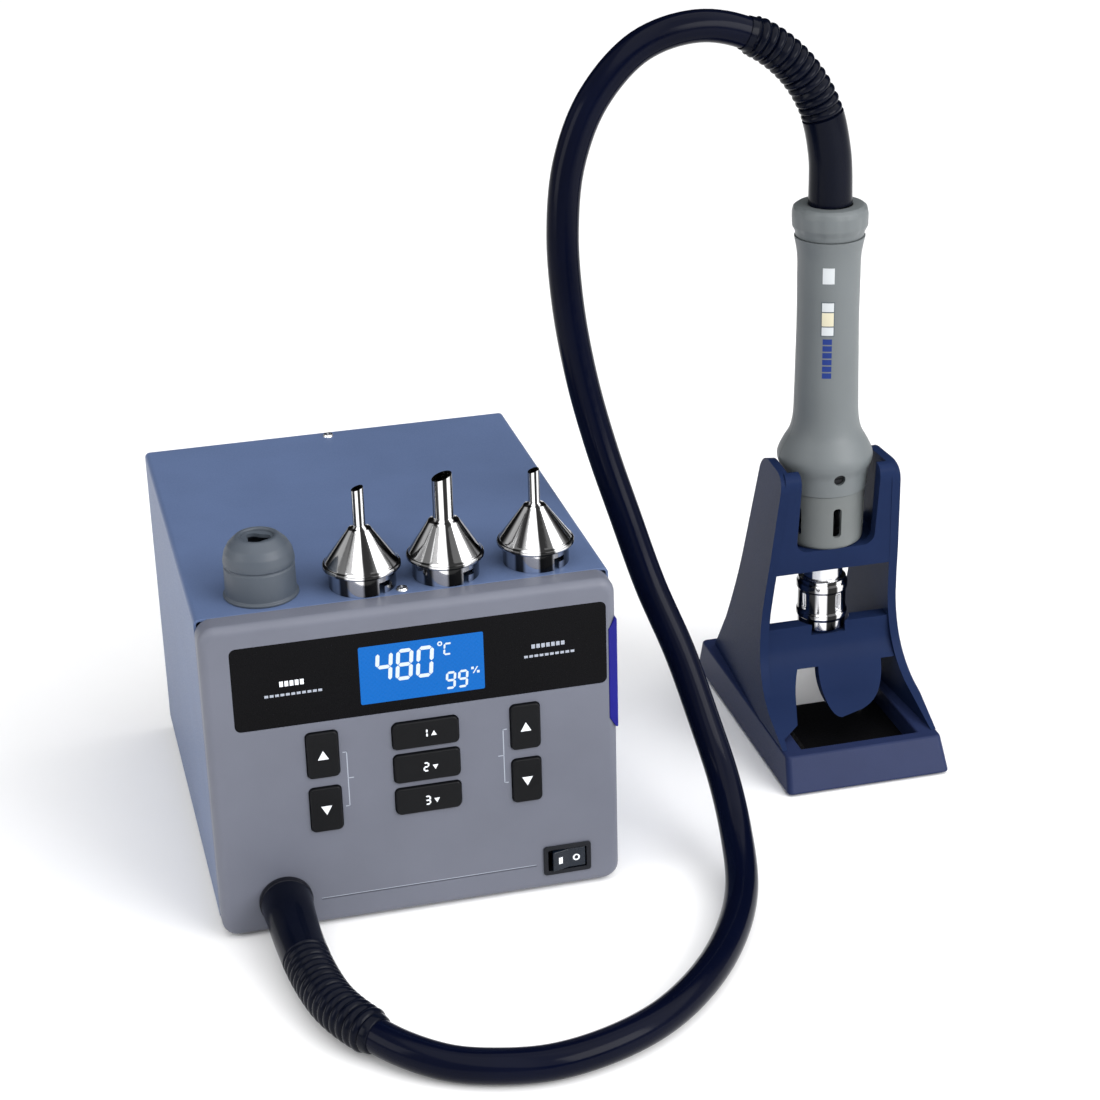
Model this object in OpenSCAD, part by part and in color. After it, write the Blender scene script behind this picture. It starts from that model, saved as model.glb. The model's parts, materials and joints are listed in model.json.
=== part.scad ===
// Hot-air rework station: control box, hose, handpiece in its stand, and loose nozzles.
// Millimetres, +Z up, front towards -Y, origin on the table under the middle of the set.

/* [Case] */
// Width of the box, left to right
case_w = 188; // [184:1:192]
// Depth of the metal case behind the bezel
case_d = 207; // [204:1:210]
// Height of the top of the case above the table
case_top = 157; // [155:1:160]
// Depth of the plastic front bezel
bezel_d = 12.6; // [12:0.2:14]
// Thickness of the sheet metal
sheet = 1.2; // [1:0.1:1.5]
// Height of the rubber feet
foot_h = 6; // [5:0.5:7]

/* [Front panel] */
// Left edge of the display window
window_x = 12.7; // [12:0.1:14]
// Bottom edge of the display window
window_z = 105.3; // [104:0.1:107]
// Width of the display window
window_w = 170.7; // [160:0.1:171]
// Height of the display window
window_h = 41.4; // [38:0.1:42]
// Travel of each key
key_travel = 1; // [0.5:0.1:1.2]
// Centre of the hose gland, from the left side
gland_x = 29.5; // [28:0.5:31]
// Height of the hose gland's centre
gland_z = 17; // [16:0.5:18]

/* [Handpiece] */
// Radius of the grip at its waist
grip_r = 15.4; // [15:0.1:16]
// Radius of the flared guard
flare_r = 24.2; // [24:0.1:24.6]
// Outer radius of the heater tube
heater_r = 10.5; // [10.5:0.1:10.6]
// Height of the nose's lower rim, where it rests on the saddle
nose_z = 107; // [107:1:107]
// Height of the top of the hose collar
collar_top = 283; // [282:1:284]

/* [Stand] */
// Width of the stand's base
base_w = 86.5; // [84:0.5:88]
// Height of the stand's base
base_h = 18; // [17:1:19]
// Height of the top of the uprights
upright_top = 152; // [151:1:153]
// Thickness of the uprights
wall_t = 4.6; // [4.2:0.1:5]
// Outward lean of the uprights, degrees
wall_lean = 4.3; // [4:0.1:4.6]
// Amount the uprights close together to the rear, degrees
wall_toe = 3.2; // [2.5:0.1:3.6]

/* [Hose] */
// Radius of the hose
hose_r = 7.7; // [7.5:0.1:7.8]
// Radius of the ribbed boots at both ends
boot_r = 10.4; // [10:0.1:10.4]

/* [Hidden] */
$fn = 48;
eps = 0.01;
big = 400;

// Places in the shared frame
case_x = -188;
case_y = -97;
stand_x = 145;
stand_y = 15;
bezel_front = -bezel_d;
case_bottom = foot_h;
rear_y = case_d - 2;

// Bezel
bezel_wall = 2.6;
bezel_bottom = 1;
bezel_corner = 7;
bezel_edge = 3;
window_t = 1.5;
groove_x = [46, 147.5];
groove_z = 14.1;
badge_z = [82, 137];
badge_w = 3.8;
gland_proud = 4;

// Keys: left x, bottom z, width, height
key_heat_up_box = [43.3, 77.5, 15.2, 23.5];
key_heat_down_box = [43.3, 50, 15.2, 23];
key_one_box = [82.4, 86, 31.2, 15];
key_two_box = [82.4, 68.8, 31.2, 15];
key_three_box = [82.4, 51.5, 31.2, 15];
key_air_up_box = [137, 77.5, 14.4, 23.5];
key_air_down_box = [137, 50, 14.4, 23];
key_boxes = [
    key_heat_up_box, key_heat_down_box, key_one_box, key_two_box, key_three_box,
    key_air_up_box, key_air_down_box
];
key_proud = 1.6;
key_gap = 0.35;
key_corner = 2.5;
key_flange = 0.9;
key_flange_t = 1;
board_y = -4.6;
board_t = 1.6;
key_back = bezel_front + bezel_wall + 0.1;
tact_gap = 0.4;
tact_h = board_y - key_back - key_flange_t - key_travel - tact_gap;

// Rocker switch
switch_box = [151, 8.8, 22.8, 15.2];
rocker_half_w = 8.2;
rocker_tilt = 8;
rocker_pivot_x = 162.4;
rocker_pivot_y = bezel_front + 4;
rocker_z = 16.4;

// Blower
blower_at = [59.5, 120];
blower_r = 42;
blower_z = 12;
blower_h = 32;
impeller_r = 34;
shaft_r = 3;
shaft_fit = 0.05;
duct_w = 24;
spigot_r = 6;

// Rear inlet
inlet_x = 140;
inlet_z = 22;

// Stand
stand_front_y = -20;
base_y = [-75, 78];
half_top = 31.3;
pocket_half_w = 20.8;
saddle_hole_r = 13.8;
saddle_t = 5;
skin_top = 62;

// Hose route, from the gland on the bezel to the collar on the handpiece
route = [
    [case_x + gland_x, case_y - bezel_d, gland_z], [-158.5, -125, 17], [-157.5, -143, 14],
    [-155, -166, 11.5], [-150, -190, 11], [-141, -210, 11], [-128, -227, 9.5], [-110, -241, 8],
    [-90, -249, 8], [-70, -252, 8], [-46, -248, 8], [-19, -236, 8], [7, -214, 8],
    [31, -182, 8], [48, -147, 10], [56, -114, 19], [58, -89, 34], [54, -69, 58],
    [47, -53, 87], [37, -38, 117], [28, -27, 150], [19, -17, 184], [12, -9, 218],
    [8, -2, 253], [8, 4, 286], [13, 8, 317], [26, 11, 345], [49, 13, 367],
    [77, 14, 374], [103, 15, 368], [124, 15, 353], [138, 15, 332], [144, 15, 308],
    [stand_x, stand_y, collar_top]
];
boot_end = 5;
boot_start = 29;
route_last = len(route) - 1;
hose_sides = 12;

function unit(v) = v / norm(v);
function tangent(i) = i == 0 ? [0, -1, 0]
    : i == route_last ? [0, 0, -1]
    : unit(route[i + 1] - route[i - 1]);
function side_at(i) = i == 0 ? [1, 0, 0]
    : let (p = side_at(i - 1), t = tangent(i)) unit(p - (p * t) * t);
function ring_at(i, r) = let (s = side_at(i), n = cross(tangent(i), s))
    [for (k = [0:hose_sides - 1]) let (a = k * 360 / hose_sides)
        route[i] + r * (cos(a) * s + sin(a) * n)];

// A closed tube along the route from point first to point last
module route_tube(first, last, r) {
    rings = last - first + 1;
    points = [for (i = [first:last]) each ring_at(i, r)];
    sides = [for (j = [0:rings - 2]) for (k = [0:hose_sides - 1])
        let (n = (k + 1) % hose_sides)
        [j * hose_sides + k, (j + 1) * hose_sides + k, (j + 1) * hose_sides + n, j * hose_sides + n]];
    start_cap = [for (k = [0:hose_sides - 1]) k];
    end_cap = [for (k = [hose_sides - 1:-1:0]) (rings - 1) * hose_sides + k];
    polyhedron(points, concat(sides, [start_cap, end_cap]));
}

module in_case() { translate([case_x, case_y, 0]) children(); }
module in_stand() { translate([stand_x, stand_y, 0]) children(); }

// A cylinder along +Y from y0 with length l
module rod_y(x, y0, z, r, l) {
    translate([x, y0, z]) rotate([-90, 0, 0]) cylinder(r = r, h = l);
}

// A rectangle with round corners, its lower left corner at the origin
module round_rect(w, h, r) {
    translate([r, 0]) square([w - 2 * r, h]);
    translate([0, r]) square([w, h - 2 * r]);
    for (x = [r, w - r]) for (y = [r, h - r]) translate([x, y]) circle(r);
}

// A slab standing in the XZ plane from y0, l deep, with round corners
module panel(x, y0, z, w, h, r, l) {
    translate([x, y0 + l, z]) rotate([90, 0, 0]) linear_extrude(l) round_rect(w, h, r);
}

// ---- Case ----

module top_cover() {
    color("#66738f") in_case() difference() {
        translate([0, 0, case_bottom]) cube([case_w, case_d, case_top - case_bottom]);
        translate([sheet, -eps, -eps]) cube([case_w - 2 * sheet, case_d + 2 * eps, case_top - sheet]);
        for (y = [5, case_d - 5]) translate([case_w / 2, y, case_top - 5]) cylinder(r = 1.7, h = 10);
        for (i = [0:5]) translate([case_w - 5, 130 + i * 9, 60]) cube([10, 3, 14]);
    }
}

module base_chassis() {
    side = sheet + 0.2;
    lip = 16;
    color("#8b8f96") in_case() difference() {
        union() {
            translate([side, 0, case_bottom]) cube([case_w - 2 * side, rear_y - 1.5, sheet]);
            for (x = [side, case_w - side - sheet])
                translate([x, 0, case_bottom]) cube([sheet, rear_y - 1.5, lip]);
        }
        for (i = [-4:4]) translate([blower_at[0] + i * 6 - 1.5, blower_at[1] - 18, 0]) cube([3, 36, 20]);
        for (x = [18, case_w - 18]) for (y = [22, case_d - 22])
            translate([x, y, 0]) cylinder(r = 2.1, h = 20);
    }
}

module rear_panel() {
    color("#5d6880") in_case() difference() {
        translate([sheet + 0.2, rear_y - 1.5, case_bottom])
            cube([case_w - 2 * sheet - 0.4, 1.5, case_top - case_bottom - sheet - 0.2]);
        translate([inlet_x - 14, rear_y - 5, inlet_z - 10]) cube([28, 10, 42]);
        for (i = [0:9]) translate([22 + i * 8, rear_y - 5, 90]) cube([3, 10, 34]);
    }
}

// The bezel's outside, slimmer towards its front edge
module bezel_outside() {
    h = case_top - bezel_bottom;
    panel(0, -bezel_d + bezel_edge, bezel_bottom, case_w, h, bezel_corner, bezel_d - bezel_edge);
    hull() {
        panel(0, -bezel_d + bezel_edge, bezel_bottom, case_w, h, bezel_corner, 0.1);
        panel(1, -bezel_d + 0.8, bezel_bottom + 1, case_w - 2, h - 2, bezel_corner - 1, 0.1);
        panel(2.4, -bezel_d, bezel_bottom + 2.4, case_w - 4.8, h - 4.8, bezel_corner - 2.4, 0.1);
    }
}

module badge_shape() {
    x0 = case_w - badge_w;
    h = badge_z[1] - badge_z[0];
    translate([0, -1, badge_z[0]]) rotate([90, 0, 0]) linear_extrude(bezel_d - 0.8)
        polygon([[x0 + 3, 0], [case_w + 0.3, 0], [case_w + 0.3, h], [x0 + 3, h], [x0, h - 5], [x0, 5]]);
}

module front_bezel() {
    inner = bezel_wall;
    color("#7d818a") in_case() difference() {
        bezel_outside();
        panel(inner, -bezel_d + inner, bezel_bottom + inner, case_w - 2 * inner,
            case_top - bezel_bottom - 2 * inner, bezel_corner - inner, bezel_d);
        panel(window_x, -bezel_d - 1, window_z, window_w, window_h, 3, window_t + 1);
        translate([window_x + 4, -bezel_d - 1, window_z + 3]) cube([window_w - 8, 8, window_h - 6]);
        for (k = key_boxes) panel(k[0], -bezel_d - 1, k[1], k[2], k[3], key_corner, 8);
        translate([switch_box[0] + 1, -bezel_d - 1, switch_box[1] + 1])
            cube([switch_box[2] - 2, 8, switch_box[3] - 2]);
        rod_y(gland_x, -bezel_d - 1, gland_z, 9.05, 8);
        translate([groove_x[0], -bezel_d - 1, groove_z]) cube([groove_x[1] - groove_x[0], 1.4, 0.8]);
        badge_shape();
    }
}

module side_badge() {
    color("#1f1f9c") in_case() badge_shape();
}

module display_window() {
    color("#0a0b10") in_case()
        panel(window_x + 0.2, -bezel_d + 0.2, window_z + 0.2, window_w - 0.4, window_h - 0.4, 2.8,
            window_t - 0.2);
}

module lcd_module() {
    color("#0a7bdc") in_case() difference() {
        translate([66, -bezel_d + 2.8, 108.5]) cube([64, 4.6, 34]);
        translate([69.7, -bezel_d + 2.5, 111]) cube([56.6, 0.8, 28.4]);
    }
}

module control_board() {
    color("#1d6b3a") in_case() difference() {
        translate([36, board_y, 44]) cube([124, board_t, 102]);
        for (x = [41, 155]) for (z = [48, 142]) rod_y(x, board_y - 1, z, 1.6, 4);
    }
}

module key_switches() {
    color("#3b3b3f") in_case() for (k = key_boxes)
        translate([k[0] + k[2] / 2, board_y, k[1] + k[3] / 2]) {
            translate([-3, -tact_h + 0.6, -3]) cube([6, tact_h - 0.6, 6]);
            rotate([90, 0, 0]) cylinder(r = 1.7, h = tact_h);
        }
}

// A key cap: a crowned button with a flange that keeps it behind the bezel
module key_cap(k) {
    g = key_gap;
    color("#15161a") in_case() {
        panel(k[0] + g, -bezel_d - key_proud + 0.6, k[1] + g, k[2] - 2 * g, k[3] - 2 * g,
            key_corner - g, bezel_wall + key_proud - 0.5);
        panel(k[0] + g + 0.5, -bezel_d - key_proud, k[1] + g + 0.5, k[2] - 2 * g - 1, k[3] - 2 * g - 1,
            key_corner - g - 0.5, 0.6);
        translate([k[0] - key_flange, key_back, k[1] - key_flange])
            cube([k[2] + 2 * key_flange, key_flange_t, k[3] + 2 * key_flange]);
    }
}

module key_heat_up() { key_cap(key_heat_up_box); }
module key_heat_down() { key_cap(key_heat_down_box); }
module key_preset_one() { key_cap(key_one_box); }
module key_preset_two() { key_cap(key_two_box); }
module key_preset_three() { key_cap(key_three_box); }
module key_air_up() { key_cap(key_air_up_box); }
module key_air_down() { key_cap(key_air_down_box); }

module switch_frame() {
    b = switch_box;
    color("#1c222b") in_case() difference() {
        union() {
            panel(b[0], -bezel_d - 1, b[1], b[2], b[3], 1.2, 1);
            translate([b[0] + 1.1, -bezel_d - eps, b[1] + 1.1]) cube([b[2] - 2.2, 17, b[3] - 2.2]);
        }
        translate([b[0] + 2.2, -bezel_d - 2, rocker_z - 5.4]) cube([b[2] - 4.4, 11, 10.8]);
    }
}

// The rocker seen from above, two faces that meet in a shallow V, turned to its ON side
module power_rocker() {
    w = rocker_half_w;
    front = -5.6;
    color("#2a3f54") in_case() translate([rocker_pivot_x, rocker_pivot_y, rocker_z - 5])
        rotate([0, 0, rocker_tilt]) linear_extrude(10) {
            polygon([[0, front + 0.9], [w, front], [w - 1.5, 1.5], [-w + 1.5, 1.5], [-w, front]]);
            circle(r = 2.4);
        }
}

module hose_gland() {
    color("#141a2b") in_case() difference() {
        union() {
            rod_y(gland_x, -bezel_d - gland_proud, gland_z, 12.4, gland_proud);
            rod_y(gland_x, -bezel_d - 0.5, gland_z, 9, 9);
            rod_y(gland_x, -bezel_d + bezel_wall + 0.1, gland_z, 11.5, 3);
        }
        rod_y(gland_x, -bezel_d - 11, gland_z, boot_r + 0.1, 11);
        rod_y(gland_x, -bezel_d - 1, gland_z, spigot_r + 0.3, 20);
    }
}

// ---- Inside the case ----

module blower_housing() {
    wall = 1.6;
    top = blower_z + blower_h;
    color("#24272e") in_case() difference() {
        union() {
            translate([blower_at[0], blower_at[1], blower_z]) cylinder(r = blower_r, h = blower_h);
            translate([gland_x - duct_w / 2, 60, blower_z]) cube([duct_w, blower_at[1] - 60, blower_h]);
        }
        translate([blower_at[0], blower_at[1], blower_z + wall])
            cylinder(r = blower_r - wall, h = blower_h - 2 * wall);
        translate([gland_x - duct_w / 2 + wall, 59, blower_z + wall])
            cube([duct_w - 2 * wall, blower_at[1] - 60, blower_h - 2 * wall]);
        translate([blower_at[0], blower_at[1], blower_z - 1]) cylinder(r = 20, h = 5);
        translate([blower_at[0], blower_at[1], top - 4]) cylinder(r = 6, h = 8);
    }
}

module blower_motor() {
    top = blower_z + blower_h;
    color("#9aa0a8") in_case() translate([blower_at[0], blower_at[1], top + 0.2]) difference() {
        union() {
            cylinder(r = 21, h = 30);
            translate([0, 0, 30]) cylinder(r = 9, h = 4);
        }
        translate([0, 0, -1]) cylinder(r = shaft_r + shaft_fit, h = 22);
    }
}

module impeller() {
    blades = 12;
    color("#d8d9dc") in_case() translate([blower_at[0], blower_at[1], 0]) {
        translate([0, 0, 34]) cylinder(r = impeller_r, h = 2);
        translate([0, 0, 18]) cylinder(r = 8, h = 16.5);
        translate([0, 0, 35]) cylinder(r = shaft_r, h = 26);
        for (i = [0:blades - 1]) rotate([0, 0, i * 360 / blades])
            translate([14, -0.8, 18]) cube([19, 1.6, 16.5]);
    }
}

module air_duct() {
    wall = 1.6;
    top = blower_h - 0.2;
    color("#33363d") in_case() difference() {
        union() {
            translate([gland_x - duct_w / 2, 12, blower_z]) cube([duct_w, 48, top]);
            rod_y(gland_x, -7.5, gland_z, spigot_r, 20);
        }
        translate([gland_x - duct_w / 2 + wall, 12 + wall, blower_z + wall])
            cube([duct_w - 2 * wall, 48, top - 2 * wall]);
        rod_y(gland_x, -8, gland_z, spigot_r - 1.4, 30);
    }
}

module board_standoffs() {
    base = case_bottom + sheet;
    color("#c9b26b") in_case() for (x = [114, 174]) for (y = [36, 136])
        translate([x, y, base]) difference() {
            cylinder(r = 3, h = 14 - base);
            translate([0, 0, 2]) cylinder(r = 1.3, h = 20);
        }
}

module power_board() {
    color("#1d6b3a") in_case() difference() {
        translate([108, 30, 14]) cube([72, 112, board_t]);
        for (x = [114, 174]) for (y = [36, 136]) translate([x, y, 10]) cylinder(r = 1.6, h = 10);
    }
}

module board_components() {
    top = 14 + board_t;
    color("#2f4d7a") in_case() {
        for (y = [50, 68]) translate([166, y, top]) cylinder(r = 7, h = 26);
        translate([126, 40, top]) cube([24, 18, 16]);
        translate([152, 96, top]) cube([22, 14, 20]);
        for (i = [0:3]) translate([118 + i * 11, 124, top]) cube([8, 10, 9]);
    }
}

module triac_heatsink() {
    top = 14 + board_t;
    color("#a9adb3") in_case() translate([112, 66, top]) {
        cube([34, 46, 3]);
        for (i = [0:7]) translate([i * 4.6, 0, 2.5]) cube([1.6, 46, 24]);
    }
}

module transformer() {
    base = case_bottom + sheet;
    color("#6b4b2a") in_case() translate([116, 147, base]) {
        cube([52, 6, 42]);
        translate([0, 26, 0]) cube([52, 6, 42]);
        translate([0, 5.9, 0]) cube([8, 20.2, 42]);
        translate([44, 5.9, 0]) cube([8, 20.2, 42]);
        translate([10, -4, 6]) cube([32, 40, 30]);
    }
}

module mains_inlet() {
    socket_z = inlet_z - 2;
    color("#17181b") in_case() difference() {
        union() {
            translate([inlet_x - 13.5, rear_y - 20, inlet_z - 9.5]) cube([27, 20, 41]);
            panel(inlet_x - 16, rear_y, inlet_z - 12.5, 32, 47, 3, 2);
        }
        translate([inlet_x - 11, rear_y - 15, socket_z - 5]) cube([22, 30, 15]);
        translate([inlet_x - 10, rear_y - 17, inlet_z + 18]) cube([20, 30, 10]);
    }
}

module inlet_pins() {
    socket_z = inlet_z - 2;
    color("#c9ccd1") in_case() for (p = [[-7, 0], [0, 4.4], [7, 0]])
        translate([inlet_x + p[0] - 1, rear_y - 15, socket_z - 0.5 + p[1]]) cube([2, 13, 4]);
}

module fuse_drawer() {
    color("#26272b") in_case() {
        translate([inlet_x - 9.7, rear_y - 16.5, inlet_z + 18.3]) cube([19.4, 18.5, 9.4]);
        translate([inlet_x - 9.7, rear_y + 2, inlet_z + 18.3]) cube([19.4, 1, 9.4]);
    }
}

module rubber_feet() {
    color("#16171a") in_case() for (x = [18, case_w - 18]) for (y = [22, case_d - 22])
        translate([x, y, 0]) {
            cylinder(r1 = 8, r2 = 9, h = foot_h);
            cylinder(r = 2, h = foot_h + 4);
        }
}

module cover_screws() {
    color("#d7d9dd") in_case() for (y = [5, case_d - 5]) translate([case_w / 2, y, case_top]) {
        difference() {
            cylinder(r1 = 2.8, r2 = 2.2, h = 1);
            translate([-1.8, -0.35, 0.4]) cube([3.6, 0.7, 1]);
            translate([-0.35, -1.8, 0.4]) cube([0.7, 3.6, 1]);
        }
        translate([0, 0, -4.5]) cylinder(r = 1.5, h = 4.6);
    }
}

// ---- Stand ----

// Points of a curve from a to c that heads for b on its way
function bend(a, b, c) = [for (i = [0:6]) let (t = i / 6) (1 - t) * (1 - t) * a + 2 * t * (1 - t) * b + t * t * c];

// The front edge of the uprights from the side, from above the cross-bar down to the toe
front_edge = concat([[-17.5, 103], [-14.5, 88]], bend([-12.2, 74], [-9.5, 44], [-30, 31.8]), [[-60, base_h]]);

// Side view of an upright: rounded top, steep back and a toe that sweeps forward
module wall_profile() {
    top = upright_top;
    polygon(concat(
        bend([0, top], [10, top], [14.5, top - 8.5]), bend([30.8, 89], [37, 69], [51, 42]), [[67, base_h]],
        [for (i = [len(front_edge) - 1:-1:0]) front_edge[i]],
        bend([-24, top - 9.5], [-25.5, top], [-14, top])
    ));
}

module mirror_left(side) {
    if (side > 0) children();
    else mirror([1, 0, 0]) children();
}

// Places a plate so that its outer face leans and closes in like an upright's, side is -1 or 1
module lean(side) {
    mirror_left(side) translate([half_top, stand_front_y, upright_top - 5]) rotate([0, -wall_lean, wall_toe])
        translate([0, -stand_front_y, -upright_top + 5]) children();
}

module wall_shape(side) {
    intersection() {
        translate([-base_w / 2 + 2, base_y[0], base_h]) cube([base_w - 4, base_y[1] - base_y[0], big]);
        lean(side) rotate([90, 0, -90]) linear_extrude(wall_t) mirror([1, 0]) wall_profile();
    }
}

// Everything outboard of both uprights' inner faces
module outboard() {
    for (side = [-1, 1]) lean(side) translate([-wall_t, -big / 2, -big / 2]) cube([big, big, big]);
}

module stand_left_wall() { color("#364566") in_stand() wall_shape(-1); }
module stand_right_wall() { color("#364566") in_stand() wall_shape(1); }

// The curved sheet between the uprights below its ledge, opened round a hanging tab
module stand_front_skin() {
    curve = bend([-11, 60], [-9, 44], [-29, 32.4]);
    tab = concat(bend([26.8, 41], [24.5, 29], [8, 26]), bend([-4, 24.5], [-12, 25], [-7.6, 41]));
    color("#2e3b5a") in_stand() difference() {
        rotate([90, 0, 90]) translate([0, 0, -40]) linear_extrude(80) polygon(concat(
            [[-3, skin_top], [-11, skin_top]], curve, [[-55, 19.2], [-52, 16.6]],
            [for (i = [len(curve) - 1:-1:1]) curve[i] + [3, -3]], [[-3, 56]]
        ));
        rotate([90, 0, 0]) translate([0, 0, -10]) linear_extrude(80)
            polygon(concat([[-19, 41], [-28.5, 24], [-45, 18], [-45, 10], [45, 10], [45, 41]], tab));
        translate([0, 0, skin_top - 6]) cylinder(r = 14.2, h = 20);
        outboard();
    }
}

// The saddle's shelf with the U-shaped front plate that stands on it
module stand_saddle() {
    color("#364566") in_stand() difference() {
        union() {
            translate([-36, -14, nose_z - saddle_t]) cube([72, 36, saddle_t]);
            rotate([90, 0, 90]) translate([0, 0, -40]) linear_extrude(80) polygon(concat(
                [[-10.5, 94.5], [-15.8, 94.5], [-17.5, 103]],
                bend([-24, upright_top - 9.5], [-25.5, upright_top], [-18, upright_top - 0.3]),
                [[-12.3, 103]]
            ));
        }
        translate([-pocket_half_w, -40, nose_z]) cube([2 * pocket_half_w, 90, 60]);
        translate([0, 0, nose_z - 20]) cylinder(r = saddle_hole_r, h = 30);
        outboard();
    }
}

// The base, drawn in towards its top, with an open middle
module stand_base() {
    low = [[-base_w / 2, base_y[0]], [base_w / 2, base_y[0]], [base_w / 2, base_y[1]], [-base_w / 2, base_y[1]]];
    high = [[-41.5, -66], [41.5, -66], [41.5, 75], [-41.5, 75]];
    color("#474b6e") in_stand() difference() {
        polyhedron(
            points = concat([for (p = low) [p[0], p[1], 1]], [for (p = high) [p[0], p[1], base_h]]),
            faces = [[0, 1, 2, 3], [4, 7, 6, 5], [0, 4, 5, 1], [1, 5, 6, 2], [2, 6, 7, 3], [3, 7, 4, 0]]
        );
        translate([-31, -59, 0]) cube([62, 124, 30]);
    }
}

module stand_ballast() {
    color("#0d0e12") in_stand() difference() {
        translate([-22, -58.9, 2]) cube([52.9, 65, 5]);
        for (y = [-50, -5]) translate([20, y, 0]) cylinder(r = 1.7, h = 10);
    }
}

module stand_feet() {
    color("#16171a") in_stand() for (x = [-35, 35]) for (y = [-66, 70])
        translate([x, y, 0]) cylinder(r = 4, h = 1);
}

module stand_screws() {
    color("#b9bcc2") in_stand() for (y = [-50, -5]) translate([20, y, 7]) {
        cylinder(r = 3, h = 1.6);
        translate([0, 0, -4]) cylinder(r = 1.6, h = 4.1);
    }
}

module sleep_magnet() {
    color("#aeb2b8") in_stand() translate([0, 18.6, nose_z - saddle_t - 3]) cube([12, 6, 6], center = true);
}

// ---- Handpiece ----

// Outside of the grip from the step above the nose up to the collar: radius, height
grip_outline = [
    [21.3, 136.5], [21.6, 139.5], [22.4, 146.5], [flare_r - 0.6, 149.5], [flare_r, 152.5],
    [flare_r - 0.4, 155], [21.5, 160], [18.2, 166], [16.6, 173], [16.1, 185], [grip_r + 0.3, 205],
    [grip_r, 225], [grip_r + 0.1, 245], [grip_r + 0.4, 258], [17.4, 267]
];
grip_wall = 2.4;

module grip_shell(side) {
    n = len(grip_outline);
    inside = [for (i = [n - 1:-1:0]) [grip_outline[i][0] - grip_wall, grip_outline[i][1]]];
    intersection() {
        rotate_extrude($fn = 64) polygon(concat(grip_outline, inside));
        translate([-50, side < 0 ? -100 : 0, 0]) cube([100, 100, big]);
    }
}

module grip_front_shell() {
    color("#7a8285") in_stand() difference() {
        grip_shell(-1);
        rod_y(0, -40, 146, 2.9, 30);
    }
}

module grip_rear_shell() {
    color("#7a8285") in_stand() grip_shell(1);
}

module hose_collar() {
    bottom = 267;
    inner = boot_r - 2;
    color("#7a8285") in_stand() rotate_extrude() polygon([
        [inner, bottom - 5], [13.1, bottom - 5], [13.1, bottom], [18.3, bottom], [18.8, bottom + 2.5],
        [18.8, bottom + 9.5], [16.4, collar_top - 0.4], [inner, collar_top - 0.4]
    ]);
}

module nose_guard() {
    color("#858c8e") in_stand() difference() {
        rotate_extrude() polygon([
            [14, nose_z], [19, nose_z], [20, nose_z + 2], [20.6, 136.4], [18.6, 136.4], [18.6, 139.5],
            [16, 139.5], [16, 128.4], [17.8, 128.4], [17.8, nose_z + 2.5], [14, nose_z + 2.5]
        ]);
        for (i = [0:5]) rotate([0, 0, i * 60]) {
            translate([-2.2, -22, 116]) cube([4.4, 8, 11.5]);
            rod_y(0, -22, 116, 2.2, 8);
            rod_y(0, -22, 127.5, 2.2, 8);
        }
    }
}

module heater_tube() {
    color("#cfd2d6") in_stand() difference() {
        union() {
            translate([0, 0, 68]) cylinder(r = heater_r, h = 64);
            translate([0, 0, 129]) cylinder(r = 15.9, h = 3);
        }
        translate([0, 0, 60]) cylinder(r = heater_r - 1, h = 80);
    }
}

module heater_core() {
    color("#e8e2d2") in_stand() difference() {
        translate([0, 0, 74]) cylinder(r = heater_r - 1.5, h = 64);
        translate([0, 0, 70]) cylinder(r = 3, h = 80);
    }
}

module grip_screw() {
    color("#3a3c40") in_stand() difference() {
        rod_y(0, -20.2, 146, 2.8, 9);
        translate([-2, -20.7, 145.7]) cube([4, 1.2, 0.6]);
    }
}

module reed_sensor() {
    color("#2c6b45") in_stand() translate([-4, 9, 146]) cube([8, 1.6, 30]);
}

module fitted_nozzle() {
    color("#d4d6da") in_stand() difference() {
        union() {
            translate([0, 0, 57]) cylinder(r = 12.4, h = 28);
            translate([0, 0, 64]) cylinder(r = 13.2, h = 3);
            translate([0, 0, 79]) cylinder(r = 13.2, h = 4);
        }
        translate([0, 0, 66]) cylinder(r = heater_r + 0.06, h = 30);
        translate([0, 0, 50]) cylinder(r = 9, h = 30);
        for (i = [0:3]) rotate([0, 0, 45 + i * 90]) translate([-1.5, -20, 69]) cube([3, 11, 9]);
    }
}

// ---- Loose pieces on the top of the case ----

// A funnel nozzle: rim, cone and tip, hollow all through, with two locking slots
module funnel_nozzle(x, y, tip_r, tip_l, cone_h) {
    wall = 0.8;
    rim = 12;
    shoulder = rim + cone_h;
    color("#d4d6da") in_case() translate([x, y, case_top]) difference() {
        rotate_extrude($fn = 64) polygon([
            [14.4, 0], [15.2, 0], [15.2, 8.6], [17.7, 9.4], [17.7, rim], [tip_r + 2.2, shoulder - 1.5],
            [tip_r, shoulder], [tip_r, shoulder + tip_l], [tip_r - wall, shoulder + tip_l],
            [tip_r - wall, shoulder - 1], [tip_r + 0.6, shoulder - 3], [15.6, rim - 0.6], [15.6, 9.8],
            [14.4, 9.2]
        ]);
        for (a = [0, 180]) rotate([0, 0, a + 40]) translate([-1.6, -20, -1]) cube([3.2, 8, 7]);
    }
}

module small_nozzle() { funnel_nozzle(78.1, 15.5, 2.75, 18.5, 17); }
module wide_nozzle() { funnel_nozzle(116.3, 15.7, 4.6, 21, 16); }
module fine_nozzle() { funnel_nozzle(158.8, 18, 2.6, 16, 17); }

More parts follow.
